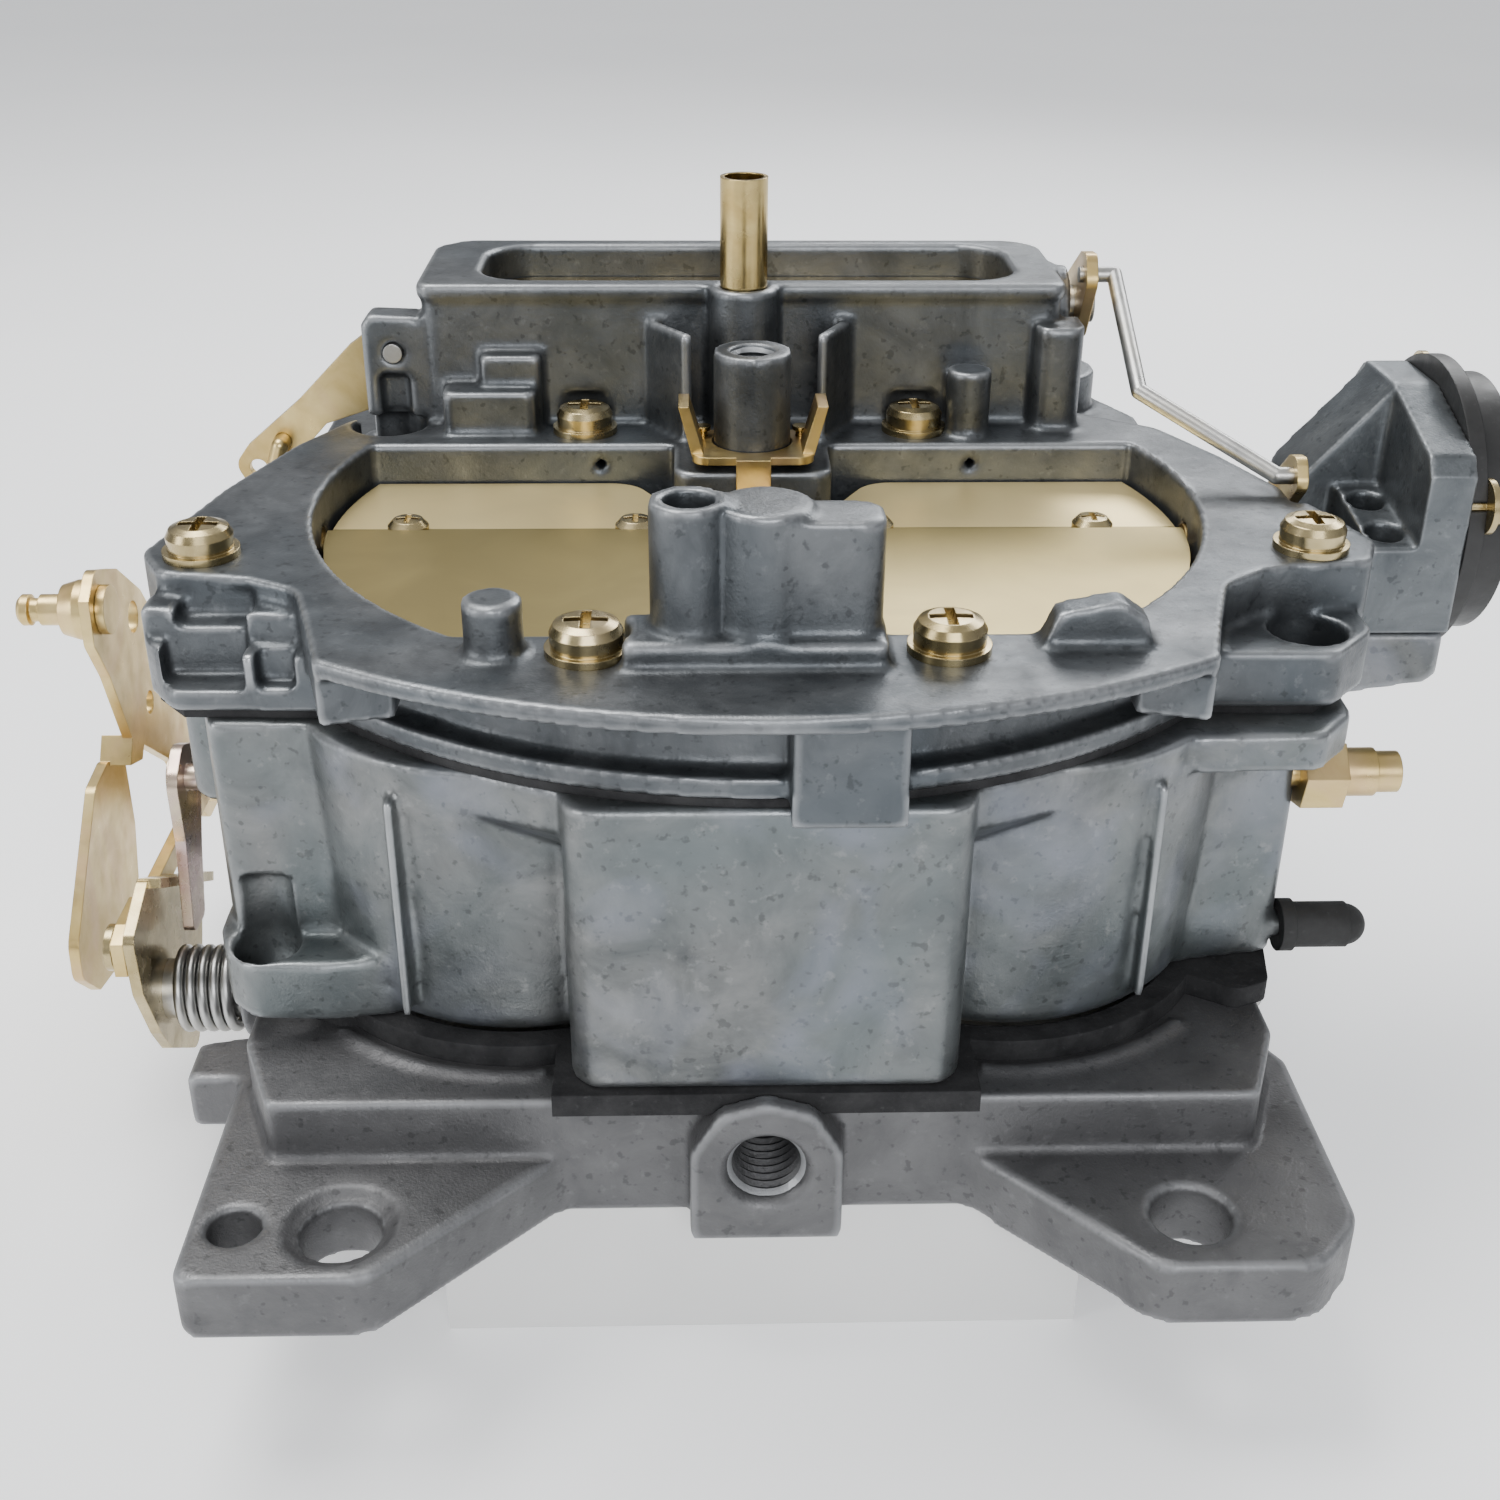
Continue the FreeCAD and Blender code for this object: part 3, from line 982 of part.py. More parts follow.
# ---------------------------------------------------------------- choke housing, right side
def choke_housing():
    wall = [(-9.5, 62.3), (32, 62.3), (33.4, 70), (32, 84), (23, 93.8), (10, 93.8),
            (-7.6, 88.6), (-9.5, 86)]
    back = [(80.7, 62.3), (93.6, 62.3), (93.6, 93.6), (81.4, 79.6), (80.7, 78.0)]
    tray = [(-9.5, 62.3), (9.2, 62.3), (9.2, 78.6), (-9.5, 75.4)]
    return cut("choke_housing", [
        prism("housing_wall", "x", wall, (93.4, 100.0), {4: [2, 3, 4]}),
        prism("housing_back", "y", back, (8.8, 22.0)),
        prism("housing_tray", "x", tray, (86.8, 93.6)),
        box("housing_foot", (84.0, 99.8), (-9.5, 22.0), (62.3, 64.6)),
    ], [
        cyl("housing_cavity", "x", 12.0, (94.8, 102.0), *housing_axis),
        cyl("housing_bore", "x", 2.55, (78.0, 96.0), *housing_axis),
        *cyls("housing_screw_hole", "z", 1.7, (60.0, 70.0), housing_screws),
        *cyls("housing_screw_well", "z", 2.65, (64.6, 82.0), housing_screws),
        *cyls("cover_tap", "x", 1.35, (94.0, 101.0), cover_screws),
    ])


def choke_housing_lever():
    """Shaft with a lever on its inner end and a tang for the coil on its outer end."""
    plate = [(1.0, 80.8), (3.4, 84.6), (6.8, 84.0), (15.6, 76.4), (15.2, 72.4), (11.4, 71.2),
             (8.6, 73.6)]
    return cut("choke_housing_lever", [
        cyl("housing_rod", "x", 2.5, (78.3, 95.4), *housing_axis),
        box("housing_tang", (95.2, 99.2), (housing_y - 2.2, housing_y + 2.2),
            (housing_z - 0.8, housing_z + 0.8)),
        prism("housing_lever_plate", "x", plate, (78.6, 80.2), {1.8: [0, 1, 2], 2.5: [4, 5]}),
    ], [cyl("housing_lever_eye", "x", 1.3, (75.0, 85.0), 4.5, 81.5)])


def choke_cover():
    return cut("choke_cover", [
        cyl("cover_flange", "x", 21.8, (100.0, 102.4), *housing_axis),
        cyl("cover_drum", "x", 19.2, (102.0, 107.6), *housing_axis),
        cyl("cover_boss", "x", 6.0, (107.0, 109.6), *housing_axis),
    ], [
        cyl("cover_hollow", "x", 17.6, (99.0, 105.4), *housing_axis),
        *cyls("cover_clear", "x", 1.6, (94.0, 106.0), cover_screws),
        # Thin closed void within the end wall.
        cyl("cover_void", "x", 15.0, (106.8, 107.0), *housing_axis),
    ])


def cover_screw(y, z):
    """Slotted screw with a washer trimmed to clear the cover drum."""
    return cut("cover_screw", [
        cyl("cover_shank", "x", 1.3, (95.2, 103.5), y, z),
        cyl("cover_washer", "x", 4.0, (102.4, 103.3), y, z),
        cyl("cover_head", "x", 2.7, (103.2, 105.4), y, z),
    ], [
        cyl("cover_drum_clear", "x", 19.3, (102.4, 108.0), *housing_axis),
        box("cover_head_slot", (104.4, 106.0), (y - 0.4, y + 0.4), (z - 4.0, z + 4.0)),
    ])


def choke_coil():
    """Spiral strip of five half rings on two alternating centres, with a hook inside."""
    turns = []
    for i in range(5):
        radius = 4.4 + 0.8 * i
        to_front = i % 2 == 0
        centre = (housing_y, housing_z + (0.0 if to_front else 0.8))
        ring = cut("coil_ring",
                   cyl("coil_outside", "x", radius + 0.35, (95.4, 99.4), *centre),
                   [cyl("coil_inside", "x", radius - 0.35, (94.0, 101.0), *centre)])
        if to_front:
            half = (housing_y, housing_y + 40.0)
        else:
            half = (housing_y - 40.0, housing_y + 0.01)
        turns.append(clip("coil_half", ring, (94.0, 101.0), half,
                          (housing_z - 40.0, housing_z + 40.0)))
    hook = box("coil_hook", (95.4, 99.4), (housing_y - 0.3, housing_y + 0.4),
               (housing_z + 2.6, housing_z + 4.7))
    return fuse("choke_coil", turns + [hook])


piece(choke_housing())
piece(choke_housing_lever())
piece(choke_cover())
housing_screw = turned("housing_screw", [
    (0, -6.8), (1.55, -6.8), (1.55, 0.0), (2.5, 0.0), (2.5, 1.2), (1.9, 2.0), (0, 2.2)],
    (1.4, 0.4, 0.8))
piece(group("choke_housing_screws",
            links("foot_screw", housing_screw, [(x, y, 64.6) for x, y in housing_screws])
            + [cover_screw(*spot) for spot in cover_screws]))
piece(choke_coil())

# ---------------------------------------------------------------- float and needle
piece(cyl("float_hinge_pin", "y", 1.25, (11.3, 28.7), *float_pin))
pontoon = [(-39, 42), (-36, 40), (-14, 40), (-12, 42), (-12, 53), (-14, 54.6), (-37, 54.6),
           (-39, 52.6)]
float_arm = [(-14.0, 53.0), (2.0, 55.2), (2.0, 57.2), (-14.0, 55.4)]
float_body = cut("float_body", [
    prism("pontoon", "y", pontoon, (13.6, 26.4)),
    prism("float_arm", "y", float_arm, (16.0, 22.6)),
    cyl("float_hub", "y", 2.4, (15.0, 25.0), *float_pin),
    box("float_tang", (5.0, 16.0), (17.0, 21.4), (56.0, 57.4)),
], [cyl("float_bore", "y", 1.3, (10.0, 30.0), *float_pin)])
float_body.Label = "float"
piece(float_body)
piece(cut("needle_seat", [
    cyl("seat_thread", "z", 3.0, (25.2, 28.0), *needle),
    cyl("seat_head", "z", 4.6, (27.0, 38.0), *needle),
], [
    cyl("seat_port", "z", 1.4, (20.0, 40.0), *needle),
    cyl("seat_guide", "z", 2.45, (30.0, 40.0), *needle),
    cyl("seat_side", "y", 1.1, (10.0, 28.0), 13.0, 33.0),
]))
needle_body = turned("needle_body", [
    (0, 29.3), (0.5, 29.6), (1.55, 31.6), (2.3, 32.6), (2.3, 47.0), (1.3, 48.0), (1.3, 55.4),
    (0.8, 55.9), (0, 55.9)])
piece(copies("inlet_needle", needle_body, [(*needle, 0.0)]))

# ---------------------------------------------------------------- power piston, rods and jets
piece(cut("power_piston", [
    cyl("piston_body", "z", 4.0, (31.0, 43.6), *piston),
    cyl("piston_stem", "z", 1.8, (43.0, 54.6), *piston),
    box("piston_bar", (19.6, 42.4), (18.6, 21.4), (54.4, 55.6)),
], cyls("bar_eye", "z", 0.85, (50.0, 60.0), main_jets)))
main_rod = turned("main_rod", [
    (0, 26.2), (0.6, 26.2), (0.75, 33.0), (1.1, 36.0), (1.1, 54.3), (0.8, 54.4), (0.8, 55.6),
    (1.4, 55.6), (1.4, 56.4), (0, 56.4)])
piece(copies("primary_metering_rods", main_rod, [(*spot, 0.0) for spot in main_jets]))
sec_jet = turned("sec_jet", [
    (1.25, 25.0), (2.25, 25.0), (2.25, 27.0), (2.7, 27.0), (2.7, 28.4), (1.25, 28.4)])
main_jet = turned("main_jet", [
    (1.2, 24.9), (2.5, 24.9), (2.5, 27.0), (3.2, 27.0), (3.2, 29.4), (2.6, 30.0), (1.2, 30.0)])
piece(group("metering_jets", links("sec_jet", sec_jet, [(*spot, 0.0) for spot in sec_jets])
            + links("main_jet", main_jet, [(*spot, 0.0) for spot in main_jets])))
piece(coil("power_piston_spring", "z", 0.4, 3.1, 1.5, (24.05, 30.95), *piston))


def booster(x, y):
    """Ring in the venturi, held by an arm from its rear wall."""
    bar = box("booster_bar", (x - 2.4, x + 2.4), (36.0, 50.0), (51.0, 57.0))
    limit = cyl("booster_limit", "z", 13.98, (40.0, 70.0), x, y)
    return cut("booster", [cyl("booster_ring", "z", 6.6, (48.0, 61.0), x, y),
                           common("booster_arm", [bar, limit])],
               [cyl("booster_bore", "z", 4.9, (40.0, 70.0), x, y)])


piece(group("booster_venturis", [booster(*bore) for bore in pri_bores]))

# ---------------------------------------------------------------- fuel inlet and side fittings
piece(cut("fuel_filter", cyl("filter_outside", "y", 8.6, (71.0, 85.8), *inlet),
          [cyl("filter_inside", "y", 4.6, (73.0, 88.0), *inlet)]))
piece(cut("fuel_inlet_nut", [
    cyl("inlet_nut_thread", "y", 10.0, (86.0, 93.6), *inlet),
    hexagon("inlet_nut_hex", 25.4, "y", (93.2, 102.4), *inlet),
], [
    cyl("inlet_nut_port", "y", inlet_rad, (92.0, 105.0), *inlet),
    cyl("inlet_nut_way", "y", 4.2, (80.0, 95.0), *inlet),
]))
piece(cut("side_fitting", [
    cyl("fitting_root", "x", 1.9, (67.0, 75.0), *fitting),
    hexagon("fitting_hex", 9.0, "x", (74.1, 80.0), *fitting, turn=15),
    cyl("fitting_neck", "x", 3.4, (79.8, 84.6), *fitting),
    cyl("fitting_lip", "x", 2.9, (84.4, 88.0), *fitting),
], [cyl("fitting_way", "x", 1.0, (66.0, 90.0), *fitting)]))
piece(cut("vacuum_cap", [
    cyl("cap_body", "x", 3.3, (74.2, 84.0), *nipple),
    cyl("cap_bead", "x", 3.8, (74.2, 76.2), *nipple),
    ball("cap_end", 3.0, 84.0, *nipple),
], [cyl("cap_bore", "x", 1.6, (70.0, 79.0), *nipple)]))

# ---------------------------------------------------------------- check and export
doc.recompute()
for item in doc.Objects:
    if "Invalid" in item.State or "Error" in item.State:
        raise RuntimeError(f"{item.Name} is in state {item.State}")
for item in pieces:
    if item.Shape.isNull() or not item.Shape.isValid() or not item.Shape.Solids:
        raise RuntimeError(f"{item.Label} has no valid solid")
for item in pieces:
    item.Shape.exportStep(f"parts/{item.Label}.step")
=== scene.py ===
"""Carburetor: finishes for its CAD pieces, softened castings, port threads and a studio.

Metres, +Z up. The camera stands on the -Y side and looks along +Y, with +X to its right.
"""
import json
import math
import bmesh
import bpy
from mathutils import Matrix, Vector


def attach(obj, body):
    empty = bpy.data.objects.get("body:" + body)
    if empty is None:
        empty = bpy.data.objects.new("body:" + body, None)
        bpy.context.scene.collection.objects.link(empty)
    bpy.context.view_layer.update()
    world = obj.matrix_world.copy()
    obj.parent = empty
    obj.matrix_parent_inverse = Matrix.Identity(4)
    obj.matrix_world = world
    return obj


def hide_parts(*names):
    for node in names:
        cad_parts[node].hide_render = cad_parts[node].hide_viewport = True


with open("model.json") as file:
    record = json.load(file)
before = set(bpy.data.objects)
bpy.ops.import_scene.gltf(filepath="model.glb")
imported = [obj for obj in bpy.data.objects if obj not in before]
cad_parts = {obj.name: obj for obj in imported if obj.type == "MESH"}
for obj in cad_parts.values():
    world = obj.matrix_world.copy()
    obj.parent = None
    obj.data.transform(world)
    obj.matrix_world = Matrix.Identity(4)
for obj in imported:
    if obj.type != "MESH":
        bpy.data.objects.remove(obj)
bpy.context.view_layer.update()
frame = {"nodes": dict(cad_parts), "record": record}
NODES = frame["nodes"]
BODY = {
    node: body
    for body, nodes in frame["record"]["behaviour"]["bodies"].items()
    for node in nodes
}
SLOT = {part["node"]: part["material_slot"] for part in frame["record"]["subparts"]}
ROOT_BODY = "carburetor_body"
scene = bpy.context.scene

TABLE_Z = -0.022
NONE, FULL = (0.0, 0.0, 0.0), (1.0, 1.0, 1.0)  # the two ends of a mask


# ------------------------------------------------------------------ shader nodes
def set_inputs(tree, node, inputs):
    """Link each input to a socket, or give it a value; colours are RGB."""
    for key, value in inputs.items():
        socket = node.inputs[key]
        if isinstance(value, bpy.types.NodeSocket):
            tree.links.new(value, socket)
        elif socket.type == "RGBA":
            socket.default_value = (*value, 1)
        else:
            socket.default_value = value


def add_node(tree, kind, inputs=None):
    node = tree.nodes.new("ShaderNode" + kind)
    set_inputs(tree, node, inputs or {})
    return node


def set_stops(ramp, stops):
    """Fill a new two-stop ramp with (position, RGB) stops in rising order."""
    elements = ramp.color_ramp.elements
    for element, (position, colour) in zip(elements, (stops[0], stops[-1])):
        element.position = position
        element.color = (*colour, 1)
    for position, colour in stops[1:-1]:
        elements.new(position).color = (*colour, 1)


def scaled(colour, factor):
    return tuple(c * factor for c in colour)


class Material:
    """A Principled material with helpers that each return an output socket."""

    def __init__(self, name):
        self.material = bpy.data.materials.new(name)
        self.material.use_nodes = True
        self.tree = self.material.node_tree
        self.tree.nodes.clear()
        output = self.add("OutputMaterial")
        self.surface = self.add("BsdfPrincipled")
        self.tree.links.new(self.surface.outputs[0], output.inputs[0])
        self.place = self.add("TexCoord").outputs["Object"]

    def add(self, kind, inputs=None):
        return add_node(self.tree, kind, inputs)

    def set(self, name, value):
        set_inputs(self.tree, self.surface, {name: value})

    def noise(self, scale, detail=4.0, rough=0.55, distortion=0.0, stretch=None):
        place = self.place
        if stretch:
            place = self.add("Mapping", {"Vector": place, "Scale": stretch}).outputs[0]
        return self.add("TexNoise", {
            "Scale": scale, "Detail": detail, "Roughness": rough,
            "Distortion": distortion, "Vector": place,
        }).outputs[0]

    def ramp(self, value, *stops):
        ramp = self.add("ValToRGB", {"Fac": value})
        set_stops(ramp, stops)
        return ramp.outputs[0]

    def fade_in(self, value, low, high):
        return self.ramp(value, (low, NONE), (high, FULL))

    def fade_out(self, value, low, high):
        return self.ramp(value, (low, FULL), (high, NONE))

    def mix(self, factor, first, second):
        node = self.add("Mix")
        node.data_type = "RGBA"
        # 6 and 7 are the colour sockets A and B, output 2 the colour result
        set_inputs(self.tree, node, {"Factor": factor, 6: first, 7: second})
        return node.outputs[2]

    def tint(self, colour, towards, amount, mask):
        """Move colour towards another by amount, where the mask is white."""
        return self.mix(self.mix(amount, NONE, mask), colour, towards)

    def map_range(self, value, from_min, from_max, to_min, to_max):
        return self.add("MapRange", {
            "Value": value, "From Min": from_min, "From Max": from_max,
            "To Min": to_min, "To Max": to_max,
        }).outputs[0]

    def vary_roughness(self, scale, low, high):
        noise = self.noise(scale, rough=0.6)
        self.set("Roughness", self.map_range(noise, 0.3, 0.7, low, high))

    def bump(self, height, strength, distance, under=None):
        inputs = {"Strength": strength, "Distance": distance, "Height": height}
        if under is not None:
            inputs["Normal"] = under
        return self.add("Bump", inputs).outputs[0]

    def bevel(self, radius):
        node = self.add("Bevel", {"Radius": radius})
        node.samples = 4
        return node.outputs[0]


# ------------------------------------------------------------------ kinds of finish
def cast_metal(name, dark, light, tint, tint_amount, roughness, grain, edge,
               metallic=0.82, patch_colour=None):
    m = Material(name)
    mottle = m.noise(95.0, detail=6.0, rough=0.62, distortion=0.6)
    colour = m.ramp(mottle, (0.30, dark), (0.70, light))
    clouds = m.fade_in(m.noise(26.0, detail=3.0, rough=0.5, distortion=0.8), 0.42, 0.66)
    colour = m.tint(colour, tint, tint_amount, clouds)
    spots = m.fade_in(m.noise(520.0, detail=3.0, rough=0.6), 0.60, 0.74)
    colour = m.tint(colour, scaled(light, 1.5), 0.30, spots)
    pits = m.fade_out(m.noise(700.0, detail=2.0, rough=0.5), 0.30, 0.38)
    colour = m.tint(colour, scaled(dark, 0.45), 0.45, pits)
    if patch_colour:
        patches = m.noise(44.0, detail=2.0, rough=0.5, distortion=1.2)
        colour = m.tint(colour, patch_colour, 0.30, m.fade_in(patches, 0.50, 0.68))
    # bright edges, partly wear and partly painted highlight; painted shade darkens the
    # hollows
    pointiness = m.add("NewGeometry").outputs["Pointiness"]
    colour = m.tint(colour, (0.62, 0.64, 0.66), edge, m.fade_in(pointiness, 0.515, 0.60))
    # painted shade: concave hollows pulled towards near-black
    colour = m.tint(colour, (0.045, 0.047, 0.05), 0.55, m.fade_out(pointiness, 0.40, 0.485))
    m.set("Base Color", colour)
    m.set("Metallic", metallic)
    m.vary_roughness(150.0, roughness - 0.09, roughness + 0.11)
    # waves, then ripple, then fine grain
    relief = None
    for scale, detail, rough, strength, distance in (
        (58.0, 3.0, 0.5, 0.25, 0.0006),
        (420.0, 3.0, 0.6, 0.30, 0.00018),
        (2300.0, 2.0, 0.6, grain, 0.00012),
    ):
        relief = m.bump(m.noise(scale, detail, rough), strength, distance, relief)
    m.set("Normal", relief)
    return m.material


def plated_metal(name, dark, light, tint, roughness, scratch=0.06, bevel=0.00025,
                 streak=None, anisotropy=0.0, stain=0.30):
    m = Material(name)
    colour = m.ramp(m.noise(120.0, rough=0.6, distortion=0.5), (0.35, dark), (0.68, light))
    clouds = m.fade_in(m.noise(48.0, detail=3.0, rough=0.5, distortion=1.4), 0.48, 0.66)
    colour = m.tint(colour, tint, 0.55, clouds)
    stains = m.fade_in(m.noise(310.0, rough=0.65), 0.58, 0.72)
    colour = m.tint(colour, scaled(dark, 0.5), stain, stains)
    m.set("Base Color", colour)
    m.set("Metallic", 1.0)
    m.vary_roughness(230.0, roughness - 0.05, roughness + 0.10)
    scratches = m.noise(1500.0, detail=2.0, rough=0.5, stretch=streak)
    relief = m.bump(scratches, scratch, distance=0.00008, under=m.bevel(bevel))
    ripple = m.noise(240.0, detail=3.0, rough=0.5)
    relief = m.bump(ripple, strength=0.08, distance=0.00012, under=relief)
    m.set("Normal", relief)
    m.set("Anisotropic", anisotropy)
    return m.material


def non_metal(name, dark, light, roughness, relief_scale, relief, specular=0.4):
    m = Material(name)
    colour = m.ramp(m.noise(190.0, detail=5.0, rough=0.65), (0.30, dark), (0.72, light))
    dust = m.fade_in(m.noise(900.0, detail=3.0, rough=0.6), 0.62, 0.76)
    dust_colour = tuple(min(1.0, c * 2.2 + 0.02) for c in light)
    m.set("Base Color", m.tint(colour, dust_colour, 0.25, dust))
    m.set("Specular IOR Level", specular)
    m.vary_roughness(260.0, roughness - 0.08, roughness + 0.10)
    height = m.noise(relief_scale, rough=0.6)
    m.set("Normal", m.bump(height, relief, distance=0.00025, under=m.bevel(0.0003)))
    return m.material


def lit_and_shaded_sheet(name, front, rear, split_y):
    """Plated sheet with the front colour below split_y and the rear colour above it; the two
    are shaded and lit copies of one plated colour, painted shade on the front part and a
    painted highlight on the rear part.
    """
    m = Material(name)
    y = m.add("SeparateXYZ", {"Vector": m.place}).outputs["Y"]
    side = m.map_range(y, split_y - 0.0001, split_y + 0.0001, 0.0, 1.0)
    tones = []
    # the front colour is a painted-shade copy and the rear colour a painted-highlight copy of
    # one plated colour
    for colour, darker, lighter in ((front, 0.92, 1.08), (rear, 0.95, 1.03)):
        mottle = m.noise(60.0, detail=3.0, rough=0.5, distortion=0.8)
        stops = (0.35, scaled(colour, darker)), (0.68, scaled(colour, lighter))
        tones.append(m.ramp(mottle, *stops))
    m.set("Base Color", m.mix(side, *tones))
    m.set("Metallic", 0.9)
    m.set("Roughness", m.map_range(side, 0.0, 1.0, 0.34, 0.42))
    brushing = m.noise(1500.0, detail=2.0, rough=0.5, stretch=(1, 14, 1))
    m.set("Normal", m.bump(brushing, strength=0.03, distance=0.00008))
    return m.material


# ------------------------------------------------------------------ the finishes
HORN = cast_metal(
    "zinc_casting_horn", dark=(0.058, 0.063, 0.068), light=(0.140, 0.148, 0.155),
    tint=(0.068, 0.082, 0.094), tint_amount=0.60, roughness=0.40, grain=0.32, edge=0.75)
BOWL = cast_metal(
    "zinc_casting_bowl", dark=(0.088, 0.094, 0.096), light=(0.205, 0.210, 0.208),
    tint=(0.118, 0.142, 0.148), tint_amount=0.60, roughness=0.38, grain=0.28, edge=0.60,
    patch_colour=(0.25, 0.27, 0.34))
BASE = cast_metal(
    "aluminium_casting_base", dark=(0.088, 0.088, 0.091), light=(0.142, 0.142, 0.145),
    tint=(0.125, 0.125, 0.130), tint_amount=0.35, roughness=0.50, grain=0.60, edge=0.55,
    metallic=0.70)
HOUSING = cast_metal(
    "zinc_casting_housing", dark=(0.070, 0.078, 0.085), light=(0.165, 0.178, 0.186),
    tint=(0.095, 0.110, 0.124), tint_amount=0.5, roughness=0.42, grain=0.30, edge=0.45)
GOLD = plated_metal(
    "yellow_zinc", dark=(0.56, 0.41, 0.16), light=(0.70, 0.55, 0.26),
    tint=(0.62, 0.42, 0.26), roughness=0.32, stain=0.18)
SCREW = plated_metal(
    "olive_zinc_screws", dark=(0.36, 0.285, 0.14), light=(0.56, 0.465, 0.26),
    tint=(0.38, 0.31, 0.19), roughness=0.24, scratch=0.05, bevel=0.0002)
BRASS = plated_metal(
    "turned_brass", dark=(0.46, 0.33, 0.12), light=(0.66, 0.52, 0.24),
    tint=(0.38, 0.29, 0.13), roughness=0.20, scratch=0.05, streak=(1, 1, 10), anisotropy=0.4)
STEEL = plated_metal(
    "zinc_plated_steel", dark=(0.36, 0.36, 0.35), light=(0.56, 0.56, 0.55),
    tint=(0.46, 0.44, 0.38), roughness=0.32)
SPRING = plated_metal(
    "dark_spring_steel", dark=(0.20, 0.20, 0.19), light=(0.40, 0.39, 0.37),
    tint=(0.30, 0.28, 0.24), roughness=0.34)
TINTED = plated_metal(
    "tinted_zinc", dark=(0.52, 0.36, 0.34), light=(0.58, 0.50, 0.36),
    tint=(0.40, 0.28, 0.42), roughness=0.26)
# one plated colour in shaded and lit copies: painted shade on the front part, painted
# highlight on the rear part
PLATE = lit_and_shaded_sheet(
    "plated_valve_sheet", front=(0.40, 0.315, 0.125), rear=(0.90, 0.735, 0.37),
    split_y=0.0066)
GASKET = non_metal(
    "charcoal_gasket", dark=(0.012, 0.012, 0.013), light=(0.035, 0.035, 0.036),
    roughness=0.80, relief_scale=1500.0, relief=0.55, specular=0.2)
BLACK = non_metal(
    "black_moulding", dark=(0.010, 0.010, 0.010), light=(0.022, 0.022, 0.022),
    roughness=0.42, relief_scale=800.0, relief=0.12)
RUBBER = non_metal(
    "rubber", dark=(0.012, 0.012, 0.012), light=(0.026, 0.026, 0.026),
    roughness=0.68, relief_scale=900.0, relief=0.25)
WHITE = non_metal(
    "white_moulding", dark=(0.55, 0.52, 0.44), light=(0.72, 0.69, 0.60),
    roughness=0.45, relief_scale=800.0, relief=0.10)
FOAM = non_metal(
    "float_foam", dark=(0.05, 0.045, 0.04), light=(0.10, 0.09, 0.08),
    roughness=0.75, relief_scale=1100.0, relief=0.7)
PAPER = non_metal(
    "filter_paper", dark=(0.55, 0.47, 0.30), light=(0.72, 0.64, 0.44),
    roughness=0.85, relief_scale=700.0, relief=0.4)

BY_SLOT = {
    "cast_zinc": HORN, "cast_aluminium": BASE, "cast_housing": HOUSING,
    "gasket": GASKET, "black_plastic": BLACK, "white_plastic": WHITE,
    "rubber": RUBBER, "float_foam": FOAM, "filter": PAPER, "brass": BRASS,
    "steel": STEEL, "plate_steel": STEEL, "yellow_zinc": GOLD, "spring_steel": SPRING,
}
# pieces whose finish differs from their slot's
BY_NODE = {
    "air_horn_screws": SCREW, "air_valve_plates": PLATE, "air_valve_screws": SCREW,
    "air_valve_shaft": GOLD, "secondary_lockout_lever": TINTED,
    "secondary_return_spring": STEEL, "throttle_lever_stud": GOLD,
    "choke_housing_screws": SCREW, "choke_plate_screws": SCREW, "pump_rod": GOLD,
    "secondary_lever": SCREW, "choke_link": STEEL, "idle_speed_screw": SCREW,
}
for name, piece in NODES.items():
    material = BY_NODE.get(name) or BY_SLOT[SLOT[name]]
    if not piece.material_slots:
        piece.data.materials.append(material)
    for slot in piece.material_slots:
        slot.link = "OBJECT"
        slot.material = material


# ------------------------------------------------------------------ castings
def link_object(name, data):
    obj = bpy.data.objects.new(name, data)
    scene.collection.objects.link(obj)
    return obj


def add_part(name, mesh, material, body, replaced=None):
    part = link_object(name, mesh)
    mesh.materials.clear()
    mesh.materials.append(material)
    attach(part, body)
    if replaced:
        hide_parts(replaced)


def soften_casting(node, voxel, material):
    """Replace a CAD piece by a voxel skin with its edges smoothed."""
    bm = bmesh.new()
    bm.from_mesh(NODES[node].data)
    bmesh.ops.remove_doubles(bm, verts=bm.verts, dist=1e-6)
    raw = bpy.data.meshes.new(node + "_raw")
    bm.to_mesh(raw)
    bm.free()
    source = link_object(node + "_tmp", raw)
    remesh = source.modifiers.new("skin", "REMESH")
    remesh.mode = "VOXEL"
    remesh.voxel_size = voxel
    smooth = source.modifiers.new("soften", "SMOOTH")
    smooth.factor = 0.5
    smooth.iterations = 3
    depsgraph = bpy.context.evaluated_depsgraph_get()
    skin = bpy.data.meshes.new_from_object(source.evaluated_get(depsgraph))
    bpy.data.objects.remove(source)
    skin.name = node + "_skin"
    skin.shade_smooth()
    add_part("cast_" + node, skin, material, BODY[node], replaced=node)


# node, voxel size, finish
CASTINGS = (
    ("air_horn", 0.00062, HORN),
    ("float_bowl", 0.00068, BOWL),
    ("throttle_body", 0.00068, BASE),
    ("choke_housing", 0.0005, HOUSING),
)
for node, voxel, material in CASTINGS:
    soften_casting(node, voxel, material)


